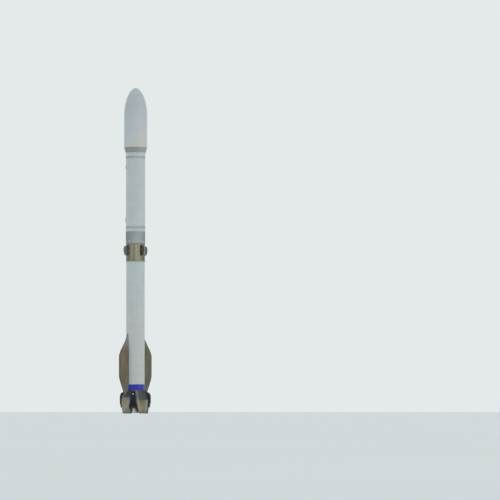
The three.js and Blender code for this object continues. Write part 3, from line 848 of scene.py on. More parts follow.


# The fade warms the tank paint below 4.7 m, fully below 3.3 m: painted warm light from below.
TANK_WHITE = sprayed_paint(
    "polyurethane_tank_sprayed", "CCD1D1", "C0C7C8", "A0A7A8", fades=[((0, 0, -1), -4.7, -3.3, "C8C8C5")],
)
# The first fade darkens the nose towards its tip: painted shade. The second warms the lower fairing towards
# azimuth 54 and downwards: painted warm light.
FAIRING_WHITE = sprayed_paint(
    "polyurethane_fairing_sprayed", "CAD0D4", "C3C9CE", "A6ADB2",
    fades=[((0, 0, 1), 10.9, 11.5, "BBC2C5"), ((0.405, -0.295, -1), -10.75, -9.95, "D0CEC4")],
)
RING_WHITE = sprayed_paint("polyurethane_ring_sprayed", "D3D8D7", "C3C9C9", "A8AEAD")
# A darker grey for the boat tail, the groove fittings and the ports: on the boat tail's downward-facing cone
# it is painted shade. Its fade lightens and warms it towards azimuth 54: painted warm light.
SHADE_GREY = sprayed_paint(
    "epoxy_primer_sprayed_shaded", "9CA3A0", "919896", "7A807D", roughness=0.55,
    fades=[((0.81, -0.59, 0), -0.1, 0.32, "ABABA2")],
)
# A grey a little darker than the ring, for the faces of the separation grooves: painted shade in the grooves.
GROOVE_SHADE_GREY = sprayed_paint("epoxy_groove_sprayed_shaded", "C4CAC8", "B7BDBC", "959B9A", roughness=0.55)
DOOR_GREY = sprayed_paint("epoxy_door_sprayed", "B4BAB3", "A9AFA9", "8A908B", roughness=0.55)
# The interstage's dark panel colour is painted shade, laid on by its tones.
INTERSTAGE_GREY = sprayed_paint(
    "epoxy_interstage_sprayed", "B0B9BB", "A3ACAF", "82888A", roughness=0.5, soot_and_shade="686F71",
)
PAD_GREY = sprayed_paint("polyurethane_pad_sprayed", "BAB7C6", "A8A5B4", "807E8B")
GOLD = gold_film("polyimide_film_taped", "C0BB9E", "A19D83", "5F5B46")
GOLD_ROSE = gold_film("polyimide_film_taped_browned", "B6B09F", "9E988A", "5F594A")
GOLD_DULL = gold_film("polyimide_film_taped_dusty", "A9A998", "8F8F80", "5F5D50")
BRONZE = ablator(
    "ablator_sprayed_bronze", "837559", "6A5F4B", "453F2E", flow=40,
    fades=[(2.35, 2.85, "8E979A"), (1.15, 0.8, "7E7870")],
)
# A darker, greyer copy of the left strake's ablator, for the right strake: painted shade.
BRONZE_SHADED = ablator(
    "ablator_sprayed_shaded", "776F58", "5F5A4A", "3F3C30", flow=40,
    fades=[(2.4, 2.9, "6E7672"), (1.15, 0.8, "77736C")],
)
BRONZE_DARK = ablator("ablator_sprayed_charred", "5C5443", "4C4638", "2E2B22", flow=30)
SAND = ablator(
    "ablator_sprayed_sand", "B3A988", "A09473", "5F5842", flow=18,
    fades=[(0.08, 0.48, "675E49"), (0.11, 0.03, "7D7C70")], scuff=(0.3, "6B5B40"),
)
SAND_GREY = ablator(
    "ablator_sprayed_ashen", "A8A591", "93917F", "5C5A50", flow=18,
    fades=[(0.12, 0.5, "7D7B72"), (0.11, 0.03, "74766C")], scuff=(0.3, "6B6150"),
)
SAND_ROSE = ablator(
    "ablator_sprayed_baked", "B3A592", "A0927F", "62543F", flow=18,
    fades=[(0.2, 0.52, "857E70"), (0.11, 0.03, "817C74")], scuff=(0.3, "755F4C"),
)
# The upper coat: the panel tone, which runs across each fairing, takes it almost to the deep colour, so it is
# a scorched coat with painted shade across it.
SAND_SCORCHED_SHADED = ablator(
    "ablator_sprayed_scorched_and_shaded", "685B66", "2B2F2C", "34302F", flow=14, depth=0.95, mottle=0.5,
)
SAND_EDGE = ablator(
    "ablator_sprayed_edge", "ADA695", "9A9383", "71685C", flow=12,
    fades=[(0.4, 0.6, "6B685F"), (0.11, 0.03, "7C7A72")], scuff=(0.25, "6B6150"),
)
BLUE = enamel_blue()
LEG_BLACK = laminate("carbon_laminate_cured_leg", "0B0E14", "151B24", shine=0.25)
LEG_RAIL = laminate("carbon_laminate_cured_rail", "14191F", "1F262E", shine=0.35)
# Its dark panel colour is painted shade on the blades, set fin by fin; behind the fins on the module it
# follows the panels' own tones.
FIN_BLACK = laminate(
    "carbon_laminate_cured_fin", "47463F", "57564E", fade=(0.40, 0.53, "6C7274"), soot_and_shade="2C2B26",
)
QUILT = quilted_cloth("silica_cloth_quilted_sooty", "6A6C6D", "4C4F51", "2E3031")
# Kept near white so that it lightens the shaded engine bay: partly the cloth's own pale colour, partly
# painted light.
QUILT_PALE = quilted_cloth("silica_cloth_quilted", "EEEBDF", "D3D0C4", "8B887D")
NOZZLE = nozzle_alloy()
NOZZLE_SOOTED = sooted_alloy()
STEEL = brushed_metal("stainless_steel_brushed", "B9BCBC", "8F9394")
DARK_STEEL = brushed_metal("tool_steel_blackened", "5F6364", "45494B", roughness=0.45)
SEAL = seal_rubber()


# Payload fairing
def nose_radius(z):
    share = max(0.0, (z - SHOULDER) / (TIP - SHOULDER))
    return FAIRING_RADIUS * max(0.0, 1 - share * share) ** NOSE_POWER


def nose_cap():
    """The nose's tip, over both halves of the fairing."""
    cap = Form()
    steps = 26
    profile = [(0.0, CAP_BASE)]
    start = math.asin((CAP_BASE - SHOULDER) / (TIP - SHOULDER))
    for i in range(steps + 1):
        angle = start + (math.pi / 2 - start) * i / steps
        z = SHOULDER + (TIP - SHOULDER) * math.sin(angle)
        profile.append((nose_radius(z) if i < steps else 0.0, z))
    cap.turned(profile)
    make_piece(cap, "nose_cap_shell", [FAIRING_WHITE], stands_for=["nose_cap"])


def fairing_halves():
    """Two half shells with joints round them, and a tone for each ring between the joints."""
    along = stations(FAIRING_BASE, CAP_BASE - JOINT_WIDTH / 2, 0.035, FAIRING_JOINTS, JOINT_WIDTH,
                     edge=2 * MM, edge_width=2 * MM)
    for side, middle in (("front", 0), ("rear", 180)):
        shell = Form()
        across = stations(middle - 90 + SPLIT_GAP, middle + 90 - SPLIT_GAP, 2.5)
        tones = [random.uniform(0.2, 0.8) for _ in range(len(FAIRING_JOINTS) + 1)]

        def tone_at(a, z):
            return tones[sum(z > joint for joint in FAIRING_JOINTS)]

        shell.skin(on_body(nose_radius), across, along, 18 * MM, tone_at=tone_at)
        make_piece(shell, f"fairing_{side}_shell", [FAIRING_WHITE],
                   stands_for=[f"fairing_{side}_half"])


def split_rails():
    """Rails beside the split up both sides, one on each half, with their fasteners."""
    rails = Form()
    width = 17 * MM
    lift = 3.5 * MM
    pitch = 45 * MM
    surface = on_body(lambda z: nose_radius(z) + lift)
    along = stations(FAIRING_BASE + 4 * MM, CAP_BASE - 10 * MM, 0.035)
    for side in (-90, 90):
        for turn in (-1, 1):
            near = side + turn * SPLIT_GAP * 1.2
            far = side + turn * math.degrees(width / FAIRING_RADIUS)
            across = stations(min(near, far), max(near, far), 2, edge=1.5 * MM, edge_width=0.25)
            rails.skin(surface, across, along, 6 * MM)
            z = FAIRING_BASE + 30 * MM
            while z < CAP_BASE - 30 * MM:
                place = at_side((near + far) / 2, nose_radius(z) + lift, z)
                rails.stud(place, 2.6 * MM, 1.6 * MM, sides=8, finish=1)
                z += pitch
    make_piece(rails, "fairing_split_rails", [FAIRING_WHITE, STEEL])


def fairing_covers():
    """Pressure vents round the base, and access covers."""
    covers = Form()
    vents = 16
    for k in range(vents):
        place = at_side(360 * (k + 0.5) / vents, FAIRING_RADIUS, FAIRING_BASE + 75 * MM)
        covers.brick(place, (0.03, 0.005, 0.014), chamfer=1.2 * MM)
        covers.brick(place, (0.022, 0.003, 0.008), (0, 2.2 * MM, 0), 0.8 * MM, finish=1)
    large = (0.085, 0.11)
    small = (0.07, 0.07)
    spots = ((-28, 10.43, large), (38, 10.43, large), (152, 10.43, large),
             (205, 10.9, small), (18, 10.9, small))
    for azimuth, z, (wide, tall) in spots:
        covers.cover(
            FAIRING_RADIUS + 2.2 * MM, azimuth, math.degrees(wide / 2 / FAIRING_RADIUS),
            (z - tall / 2, z + tall / 2), 5 * MM, (-0.8, 0, 0.8), (z - 0.4 * tall, z + 0.4 * tall),
            step=2, edge=1.5 * MM, sides=8, tone=0.9,
        )
    make_piece(covers, "fairing_vents_and_covers", [FAIRING_WHITE, SEAL, STEEL])


def boat_tail():
    """A ribbed cone from the fairing's base in to the upper stage."""
    cone = Form()
    r = BOAT_TAIL_RADIUS
    low = TAIL_BASE + 30 * MM
    high = FAIRING_BASE - 30 * MM
    cone.turned(
        [
            (0, TAIL_BASE),
            (r - 2 * MM, TAIL_BASE),
            (r, TAIL_BASE + 2 * MM),
            (r, low),
            (r - 1 * MM, low + 2 * MM),
            (SEPARATION_RADIUS - 4 * MM, high - 4 * MM),
            (SEPARATION_RADIUS + 3 * MM, high + 2 * MM),
            (SEPARATION_RADIUS + 3 * MM, FAIRING_BASE - 6 * MM),
            (SEPARATION_RADIUS, FAIRING_BASE - 2 * MM),
            (0, FAIRING_BASE - 2 * MM),
        ]
    )
    ribs = 48
    for k in range(ribs):
        ends = []
        for z, radius in ((low, r - 1 * MM), (high, SEPARATION_RADIUS - 4 * MM)):
            place = at_side(360 * k / ribs, radius, z)
            corners = ((-3.5, -2), (3.5, -2), (2.5, 3.0), (-2.5, 3.0))
            ends.append([tuple(place @ Vector((x * MM, y * MM, 0))) for x, y in corners])
        cone.loft(ends, tone=0.8)
    make_piece(cone, "boat_tail_shell", [SHADE_GREY], stands_for=["fairing_boat_tail"])


# Upper stage
STAGE_RING = [RING_WHITE, SHADE_GREY, STEEL, GROOVE_SHADE_GREY]


def stepped_ring(form, groove, ring, radius):
    """Fittings that bridge the groove, and the ring's fasteners and ports.

    The groove and the ring are each given by their low and their high end."""
    fittings = 24
    tall = 60 * MM
    for k in range(fittings):
        place = at_side(360 * k / fittings, GROOVE_RADIUS, sum(groove) / 2)
        form.brick(place, (0.016, 0.016, tall), (0, 4 * MM, 0), finish=1)
        for turn in (1, -1):
            spot = Matrix.Translation((0, 12 * MM, turn * tall * 0.28))
            form.stud(place @ spot, 3 * MM, 2 * MM, sides=8, finish=2)
    low, high = ring
    form.stud_ring(radius, (low + 9 * MM, high - 9 * MM), 2.4 * MM, 1.5 * MM, finish=2)
    ports = 12
    for k in range(ports):
        place = at_side(360 * (k + 0.25) / ports, radius, (low + high) / 2)
        form.brick(place, (0.034, 0.004, 0.02), chamfer=1.2 * MM, finish=1)


def forward_skirt():
    """The upper stage's top: a separation groove under a ring with fasteners."""
    skirt = Form()
    r = FORWARD_SKIRT_RADIUS
    low = UPPER_TOP
    groove_top = low + 75 * MM
    ring_low = groove_top + 16 * MM
    ring_high = TAIL_BASE - 3 * MM
    skirt.turned(
        [
            (0, low),
            (GROOVE_RADIUS, low),
            (GROOVE_RADIUS, groove_top),
            (r - 2 * MM, ring_low - 3 * MM),
            (r, ring_low),
            (r, ring_high),
            (r - 2 * MM, ring_high + 2 * MM),
            (0, ring_high + 2 * MM),
        ],
        finish=[3, 3, 3, 0, 0, 0, 0],
    )
    stepped_ring(skirt, (low + 5 * MM, groove_top), (ring_low, ring_high), r)
    make_piece(skirt, "forward_skirt_shell", STAGE_RING,
               stands_for=["upper_stage_forward_skirt"])


def aft_skirt():
    """The upper stage's lower end: a ring with fasteners under a separation groove."""
    skirt = Form()
    r = INTERSTAGE_RADIUS
    low = INTERSTAGE_TOP + 1 * MM
    ring_low = low + 2 * MM
    ring_top = INTERSTAGE_TOP + 95 * MM
    ring_high = ring_top - 3 * MM
    skirt.turned(
        [
            (0, low),
            (r - 2 * MM, low),
            (r, ring_low),
            (r, ring_high),
            (r - 3 * MM, ring_top),
            (GROOVE_RADIUS, ring_top + 15 * MM),
            (GROOVE_RADIUS, UPPER_BASE),
            (0, UPPER_BASE),
        ],
        finish=[0, 0, 0, 0, 3, 3, 3],
        tone=1.0,
    )
    stepped_ring(skirt, (ring_top + 20 * MM, UPPER_BASE), (ring_low, ring_high), r)
    make_piece(skirt, "aft_skirt_shell", STAGE_RING, stands_for=["upper_stage_aft_skirt"])


def welded_tank(name, node, radius, barrels):
    """A tank of barrels welded end to end, each weld a low bead, with the barrels' own tones."""
    low = low_end(node)
    high = high_end(node)
    bead = 9 * MM
    proud = 1.3 * MM
    inset = 1.2 * MM
    rounding = 3 * MM
    profile = [(0, low), (radius - inset, low), (radius, low + rounding)]
    tones = [0.5, 0.5]
    for k in range(barrels):
        barrel_tone = random.uniform(0.1, 0.9)
        start = low + (high - low) * k / barrels
        end = low + (high - low) * (k + 1) / barrels
        steps = 4
        for i in range(1, steps):
            tones.append(barrel_tone)
            profile.append((radius - proud, start + (end - start) * i / steps))
        if k < barrels - 1:
            profile += [(radius - proud, end - bead), (radius, end - bead / 2)]
            profile += [(radius, end + bead / 2), (radius - proud, end + bead)]
            tones += [barrel_tone, barrel_tone, 0.3, 0.3]
    profile += [(radius, high - rounding), (radius - inset, high), (0, high)]
    tones += [barrel_tone, 0.5, 0.5, 0.5]
    tank = Form()
    tank.turned(profile, tone=tones)
    make_piece(tank, name, [TANK_WHITE], stands_for=[node])


def raceway(name, node, radius, straps):
    """A cable cover along the rear, held by straps."""
    low = low_end(node)
    high = high_end(node)
    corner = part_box(node)[1]
    tall = corner.y - radius
    half = math.degrees(math.asin(corner.x / (radius + tall)))
    thickness = tall + 2 * MM
    cover = Form()
    surface = on_body(lambda z: radius + tall)
    end = 35 * MM
    across = stations(180 - half * 0.92, 180 + half * 0.92, 1.2, edge=5 * MM, edge_width=0.55)
    along = stations(low, high, 0.12, edge=tall * 0.8, edge_width=end)
    cover.skin(surface, across, along, thickness)
    over = stations(180 - half, 180 + half, 1.0, edge=5.5 * MM, edge_width=0.6)
    for k in range(straps):
        z = low + end + (high - low - 2 * end) * (k + 0.5) / straps
        cover.skin(surface, over, stations(z - 6 * MM, z + 6 * MM, 0.02), thickness, finish=1)
        for side in (-1, 1):
            place = at_side(180 + side * (half + 0.7), radius, z)
            cover.brick(place, (0.012, 0.005, 0.018), (0, 1.5 * MM, 0), 1 * MM, finish=1)
            cover.stud(place @ Matrix.Translation((0, 4 * MM, 0)), 2.2 * MM, 1.4 * MM, finish=1)
    make_piece(cover, name, [TANK_WHITE, STEEL], stands_for=[node])


def connector(panel, x, z, size, place):
    """A connector's collar, its seal and its pin, each smaller and prouder than the one before."""
    for low, high, share, narrow, sides, finish in (
        (-4, -1.2, 1.0, 0.94, 24, 2),
        (-3, -0.6, 0.78, 0.74, 24, 1),
        (-3, -0.2, 0.4, 0.36, 20, 0),
    ):
        panel.rod((x, low * MM, z), (x, high * MM, z), size * share, size * narrow, sides, finish, place)


def umbilical_panels():
    """Connector plates for cables and hoses on the upper stage's rear left."""
    azimuth = -126
    flat = UPPER_RADIUS + 16 * MM
    rim = 9 * MM
    large = 15 * MM
    small = 11 * MM
    connectors = ((-0.2, 0.22, large), (0.22, 0.2, small), (-0.22, -0.2, small), (0.18, -0.2, large))
    for name, half_angle in (("low", 8), ("high", 7)):
        node = f"umbilical_plate_{name}"
        low, high = low_end(node), high_end(node)
        wide = 2 * UPPER_RADIUS * math.sin(math.radians(half_angle))
        tall = high - low
        place = at_side(azimuth, flat, (low + high) / 2)
        panel = Form()
        panel.brick(place, (wide, 0.02, tall), (0, -13 * MM, 0), 2 * MM)
        for side in (-1, 1):
            upright = (side * (wide - rim) / 2, -3 * MM, 0)
            level = (0, -3 * MM, side * (tall - rim) / 2)
            panel.brick(place, (rim, 6 * MM, tall), upright, 1.2 * MM)
            panel.brick(place, (wide, 6 * MM, rim), level, 1.2 * MM)
        for x, z, size in connectors:
            connector(panel, x * wide, z * tall, size, place)
        for sx in (-1, 0, 1):
            for sz in (-1, 1):
                spot = Matrix.Translation((sx * (wide - rim) / 2, -1.2 * MM, sz * (tall - rim) / 2))
                panel.stud(place @ spot, 2 * MM, 1.2 * MM, finish=2)
        make_piece(panel, f"umbilical_panel_{name}", [STEEL, SEAL, DARK_STEEL],
                   stands_for=[node])


# Interstage and forward module
def interstage_shade_at(azimuth):
    """How dark the interstage's painted shade is at an azimuth, between the tones to either side."""
    count = len(INTERSTAGE_SHADE_TONES)
    turn = azimuth / 360 * count
    step = int(turn)
    before, after = INTERSTAGE_SHADE_TONES[step], INTERSTAGE_SHADE_TONES[(step + 1) % count]
    return before + (after - before) * (turn - step)


def interstage():
    """A barrel darkened by painted shade towards azimuths 60 and 240, with three raised rings, doors and
    hatches.
    """
    shell = Form()
    r = INTERSTAGE_RADIUS
    low = INTERSTAGE_BASE
    high = INTERSTAGE_TOP
    seam = low + 0.13
    lips = lip(r, low, low + 14 * MM) + lip(r, seam - 6 * MM, seam + 6 * MM) + lip(r, high - 14 * MM, high)
    shell.turned([(0, low), *lips, (0, high)], tone_at=interstage_shade_at)
    # Doors stand over the lower ring, where the stage's fittings are reached, and hatches above the seam.
    doors = 12
    for k in range(doors):
        azimuth = 360 * (k + 0.5) / doors
        shell.cover(r, azimuth, 7.5, (low + 22 * MM, seam - 14 * MM), 4 * MM, (-0.85, 0.85),
                    (low + 32 * MM, low + 106 * MM), finish=1, tone=interstage_shade_at(azimuth))
    for azimuth in (-70, 20, 110, 200):
        shell.cover(r, azimuth, 5.2, (seam + 90 * MM, seam + 200 * MM), 4 * MM, (-0.85, 0, 0.85),
                    (seam + 98 * MM, seam + 192 * MM), tone=interstage_shade_at(azimuth % 360))
    shell.stud_ring(r, (low + 7 * MM, seam, high - 7 * MM), 2.2 * MM, 1.2 * MM, finish=2)
    make_piece(shell, "interstage_shell", [INTERSTAGE_GREY, DOOR_GREY, STEEL],
               stands_for=["interstage"])


def film_panel(core, number, low, high):
    """A flat panel under film between the module's lips, crinkled, and with a tone of its own."""
    panel_tone = MODULE_TONES[number]
    pitch = 360 / len(MODULE_TONES)
    middle = pitch * number
    lean = random.uniform(-0.6, 0.6) * MM
    seed = Vector([random.uniform(0, 50) for _ in range(3)])
    low_joint = low + 0.17
    high_joint = low + 0.43
    # The panel behind a fin is bare laminate where the fin's root sweeps over it.
    swept = (FIN_HEIGHT - 0.2, FIN_HEIGHT + 0.21)
    behind_fin = number % 6 == 0
    film = 4 if number in ROSE_PANELS else 0

    def crinkled(a, z, lift):
        share = (a - middle) / (pitch / 2)
        spot = Vector((a * 1.6, z * 26, 0)) + seed
        fold = noise.noise(spot) * 1.4 * MM + noise.noise(spot * 2.7) * 0.6 * MM
        edge = 1 - min(1.0, abs(share) ** 6)
        flat = MODULE_RADIUS / math.cos(math.radians(a - middle))
        return on_body(lambda height: flat + lean * share + fold * edge)(a, z, lift)

    def tone_at(a, z):
        return min(1.0, panel_tone + (0.12 if z < low_joint else 0.0))

    def finish_at(a, z):
        return 2 if behind_fin and swept[0] < z < swept[1] else film

    across = stations(middle - pitch * 0.475, middle + pitch * 0.475, 1.2, edge=2 * MM, edge_width=0.4)
    joints = swept if behind_fin else [low_joint, high_joint]
    along = stations(low + MODULE_LIP + 4 * MM, high - MODULE_LIP - 4 * MM, 0.014, joints, 3 * MM,
                     edge=2 * MM, edge_width=2 * MM)
    core.skin(crinkled, across, along, 9 * MM, finish_at=finish_at, tone_at=tone_at)


def fin_seat(core, azimuth):
    """A fin's seat, which stands through the panels, and four brackets beside it."""
    place = at_side(azimuth, 0, FIN_HEIGHT)
    core.rod((0, 0.3, 0), (0, FIN_SEAT - 5 * MM, 0), 0.055, 0.055, 40, 2, place)
    core.rod((0, 0.32, 0), (0, FIN_SEAT - 0.5 * MM, 0), 0.048, 0.046, 40, 1, place)
    core.bolt_circle(place, 12, 0.0515, FIN_SEAT - 5 * MM, 2.2 * MM, 2 * MM, 3, first=15)
    for side in (-1, 1):
        for z in (FIN_HEIGHT - 0.19, FIN_HEIGHT + 0.17):
            spot = at_side(azimuth + side * 21, MODULE_LIP_RADIUS - 3 * MM, z)
            core.brick(spot, (0.03, 0.012, 0.045), (0, -3 * MM, 0), 2 * MM)


def forward_module():
    """Film panels between two lips, over a core that shows as dull lines between them."""
    core = Form()
    low = MODULE_BASE
    high = INTERSTAGE_BASE
    inner = MODULE_RADIUS - 4 * MM
    profile = [(0, low)] + lip(MODULE_LIP_RADIUS, low, low + MODULE_LIP)
    profile += [(inner, low + MODULE_LIP + 3 * MM), (inner, high - MODULE_LIP - 3 * MM)]
    profile += lip(MODULE_LIP_RADIUS, high - MODULE_LIP, high) + [(0, high)]
    core.turned(profile, finish=5, tone=0.25)
    for number in range(len(MODULE_TONES)):
        film_panel(core, number, low, high)
    for k in range(len(FIN_SIDES)):
        fin_seat(core, 90 * k)
    finishes = [GOLD, BRONZE_DARK, FIN_BLACK, STEEL, GOLD_ROSE, GOLD_DULL]
    make_piece(core, "forward_module_shell", finishes, stands_for=["forward_module"])


def module_brackets():
    """A light ring of brackets holds the module to the booster."""
    brackets = Form()
    count = 18
    for k in range(count):
        place = at_side(360 * k / count + 5, BOOSTER_RADIUS, MODULE_BASE - 30 * MM)
        brackets.brick(place, (0.045, 0.006, 0.04), (0, 1 * MM, 0))
        for side in (-1, 1):
            spot = Matrix.Translation((side * 14 * MM, 4 * MM, 0))
            brackets.stud(place @ spot, 3 * MM, 1.6 * MM, finish=1)
    make_piece(brackets, "module_brackets", [RING_WHITE, STEEL])


# Forward fins
def bent(start, control, end, steps):
    """Points of a quadratic curve, without its first."""
    points = []
    for i in range(1, steps + 1):
        t = i / steps
        a, b, c = (1 - t) ** 2, 2 * t * (1 - t), t * t
        points.append(tuple(a * p + b * q + c * r for p, q, r in zip(start, control, end)))
    return points


def fin_outline():
    """The blade's outline as reach and height, counterclockwise from its lower root corner."""
    corner = (0.435, FIN_HEIGHT - 0.195)
    edge = (0.558, FIN_HEIGHT + 0.03)
    shoulder = (0.5, FIN_HEIGHT + 0.16)
    points = [(FIN_ROOT, FIN_HEIGHT - 0.175), corner]
    points += bent(corner, (0.55, FIN_HEIGHT - 0.175), edge, 14)
    points += bent(edge, (0.56, FIN_HEIGHT + 0.135), shoulder, 10)
    points.append((FIN_ROOT, FIN_HEIGHT + 0.205))
    dense = []
    for a, b in zip(points, points[1:] + points[:1]):
        count = max(1, math.ceil(math.dist(a, b) / 0.02))
        for i in range(count):
            dense.append((a[0] + (b[0] - a[0]) * i / count, a[1] + (b[1] - a[1]) * i / count))
    return dense


def fin_half(reach):
    """Half the blade's thickness, which tapers from its root to its tip."""
    return FIN_ROOT_HALF - (FIN_ROOT_HALF - FIN_TIP_HALF) * (reach - FIN_ROOT) / (FIN_TIP - FIN_ROOT)


def fin_blade(fin, outline, tone, place):
    """Two faces that crown from the outline's edge to its middle, and the edge between them."""
    middle = (0.455, FIN_HEIGHT)
    # Each level is the outline at a scale, and its share of the blade's thickness.
    levels = [(1.0, 0.1), (0.985, 0.42), (0.95, 0.72), (0.88, 0.92), (0.74, 1.0), (0.5, 1.0), (0.25, 1.0)]
    edge_levels = 2
    n = len(outline)
    points = []
    for side in (-1, 1):
        for scale, share in levels:
            for reach, z in outline:
                far = middle[0] + (reach - middle[0]) * scale
                up = middle[1] + (z - middle[1]) * scale
                points.append((side * fin_half(far) * share, far, up))
        points.append((side * 11 * MM, *middle))
    shift = len(points) // 2
    last = (len(levels) - 1) * n
    face = []
    kinds = []
    for level in range(len(levels) - 1):
        for i in range(n):
            j = (i + 1) % n
            face.append((level * n + i, level * n + j, (level + 1) * n + j, (level + 1) * n + i))
            kinds.append(1 if level < edge_levels and outline[i][0] > FIN_ROOT + 10 * MM else 0)
    for i in range(n):
        face.append((last + i, last + (i + 1) % n, shift - 1))
        kinds.append(0)
    other_face = [tuple(shift + i for i in reversed(f)) for f in face]
    edge = [(i, shift + i, shift + (i + 1) % n, (i + 1) % n) for i in range(n)]
    fin.add(points, face + other_face + edge, kinds + kinds + [1] * n, tone, place)


def fin_straps(fin, side, tone, place):
    """Low straps with fasteners over the blade's spars, on one side of it."""
    studs = 5
    facing = Matrix.Rotation(-side * math.pi / 2, 4, "Z")
    root = FIN_ROOT + 12 * MM
    for z, near, far in ((-0.115, root, 0.485), (0.0, 0.41, 0.54), (0.115, root, 0.51)):
        ends = []
        for reach in (near, far):
            skin = side * fin_half(reach)
            corners = ((-1, -6), (0.9, -4.5), (0.9, 4.5), (-1, 6))
            ends.append([(skin + side * x * MM, reach, FIN_HEIGHT + z + up * MM) for x, up in corners])
        fin.loft(ends, tone=min(1.0, tone + 0.15), place=place)
        for i in range(studs):
            reach = near + (far - near) * (i + 0.5) / studs
            skin = side * (fin_half(reach) + 0.8 * MM)
            spot = Matrix.Translation((skin, reach, FIN_HEIGHT + z))
            fin.stud(place @ spot @ facing, 1.8 * MM, 1.0 * MM, finish=2)


def fins():
    """Four blades, each with its straps, on a hub that turns on the module's seat."""
    outline = fin_outline()
    # How dark each fin is painted, front, right, rear and left: painted shade, heaviest on the front fin and
    # none on the left.
    soot_and_shade = (0.85, 0.2, 0.5, 0.0)
    for k, (side, tone) in enumerate(zip(FIN_SIDES, soot_and_shade)):
        fin = Form()
        axis = at_side(90 * k, 0, 0)
        fin_straps(fin, -1, tone, axis)
        fin_blade(fin, outline, tone, axis)
        fin_straps(fin, 1, tone, axis)
        place = at_side(90 * k, 0, FIN_HEIGHT)
        fin.rod((0, FIN_SEAT + 0.5 * MM, 0), (0, FIN_SEAT + 12 * MM, 0), 0.042, 0.037, 40, 1, place)
        fin.rod((0, FIN_SEAT + 11 * MM, 0), (0, FIN_SEAT + 34 * MM, 0), 0.033, 0.019, 32, 1, place)
        fin.bolt_circle(place, 10, 0.0365, FIN_SEAT + 11.5 * MM, 2.2 * MM, 2 * MM, 2)
        # Fasteners hold both faces of the blade's root.
        for face in (-1, 1):
            facing = Matrix.Rotation(-face * math.pi / 2, 4, "Z")
            for z in (-0.15, -0.11, 0.11, 0.15):
                spot = Matrix.Translation((face * 13.5 * MM, FIN_SEAT + 18 * MM, z))
                fin.stud(place @ spot @ facing, 2.6 * MM, 1.6 * MM, finish=2)
        make_piece(fin, f"forward_fin_{side}_blade", [FIN_BLACK, BRONZE_DARK, STEEL], body=f"fin_{side}",
                   stands_for=[f"forward_fin_{side}"])


# Booster
def base_band():
    """A plain band between two raised edges with fasteners."""
    band = Form()
    r = BAND_RADIUS
    low = BAND_BASE
    high = BOOSTER_BASE
    band.turned(
        [
            (0, low),
            (r - 3 * MM, low),
            (r, low + 3 * MM),
            (r, low + 16 * MM),
            (r - 1.5 * MM, low + 18 * MM),
            (r - 1.5 * MM, high - 18 * MM),
            (r, high - 16 * MM),
            (r, high - 3 * MM),
            (r - 3 * MM, high),
            (0, high),
        ]
    )
    band.stud_ring(r, (low + 9 * MM, high - 9 * MM), 2.4 * MM, 1.4 * MM, finish=0)
    make_piece(band, "base_band_shell", [BLUE], stands_for=["booster_base_band"])


def strake_section(z, sunk_row, columns, reach, root):
    """A strake's outline at one height: out along one flank, round the edge and back along the other."""
    edge = min(STRAKE_EDGE, root * 0.6)
    slope = (root - edge) / max(reach - BOOSTER_RADIUS, 1e-4)
    flank = []
    for share, sunk in columns:
        x = STRAKE_INSIDE + (reach - edge - STRAKE_INSIDE) * share
        half = edge + slope * (reach - edge - x)
        flank.append((x, half - min(max(sunk, sunk_row), half * 0.3)))
    ring = [(x, -y, z) for x, y in flank]
    for i in range(1, STRAKE_ARC):
        a = math.pi / 2 * (1 - 2 * i / STRAKE_ARC)
        ring.append((reach - edge + edge * math.cos(a), -edge * math.sin(a), z))
    return ring + [(x, y, z) for x, y in reversed(flank)]


def strake_studs(wedge, place, reach_at, root_at):
    """Fasteners up the root strip of both flanks."""
    share = 0.1
    for z, _ in stations(0.95, 2.7, 0.06):
        for face in (-1, 1):
            x = STRAKE_INSIDE + (reach_at(z) - STRAKE_INSIDE) * share
            half = root_at(z) - (root_at(z) - STRAKE_EDGE) * share
            spot = place @ Matrix.Translation((x, face * (half - 0.6 * MM), z))
            if face < 0:
                spot = spot @ Matrix.Rotation(math.pi, 4, "Z")
            wedge.stud(spot, 2.6 * MM, 1.6 * MM, finish=2)


def strakes():
    """Wedges with a round edge, in bays between joints, each bay with a tone of its own."""
    reach_at = along_table(STRAKE, "reach")
    root_at = along_table(STRAKE, "root")
    rows = stations(STRAKE[-1]["z"], STRAKE[0]["z"], 0.03, STRAKE_JOINTS, JOINT_WIDTH, STRAKE_SUNK)
    columns = stations(0.0, 1.0, 0.08, STRAKE_SEAMS, 0.012, STRAKE_SUNK)
    rings = [strake_section(z, sunk, columns, reach_at(z), root_at(z)) for z, sunk in rows]
    flank = [share for share, _ in columns]
    shares = flank + [1.0] * (STRAKE_ARC - 1) + flank[::-1]
    # The right strake takes the darker copy of the left one's ablator: painted shade.
    for side, turn, coat in (("right", 0, BRONZE_SHADED), ("left", 180, BRONZE)):
        bays = {}

        def finish_at(k, i):
            return 1 if shares[i] > 0.97 else 0

        def tone_at(k, i):
            level = sum(rows[k][0] > joint for joint in STRAKE_JOINTS)
            strip = sum(shares[i] > seam for seam in STRAKE_SEAMS)
            bay = (level, strip, i < len(flank))
            if bay not in bays:
                bays[bay] = random.uniform(0.0, 1.0)
            return bays[bay]

        wedge = Form()
        place = Matrix.Rotation(math.radians(turn), 4, "Z")
        wedge.loft(rings, finish_at=finish_at, tone_at=tone_at, place=place)
        strake_studs(wedge, place, reach_at, root_at)
        make_piece(wedge, f"strake_{side}_skin", [coat, BRONZE_DARK, DARK_STEEL],
                   stands_for=[f"strake_{side}"])


# Aft end
def engine_spots():
    """Where the engines stand: one in the middle and the rest round it."""
    spots = [(0.0, 0.0)]
    for a in circle(ENGINE_COUNT):
        spots.append((ENGINE_PITCH_RADIUS * math.sin(a), -ENGINE_PITCH_RADIUS * math.cos(a)))
    return spots


def pillow(*place):
    """How full a quilted cloth is at a point: 0 on a seam, 1 in the middle of a pillow."""
    return min(abs(math.sin(math.pi * part / QUILT_PITCH)) for part in place) ** 0.5


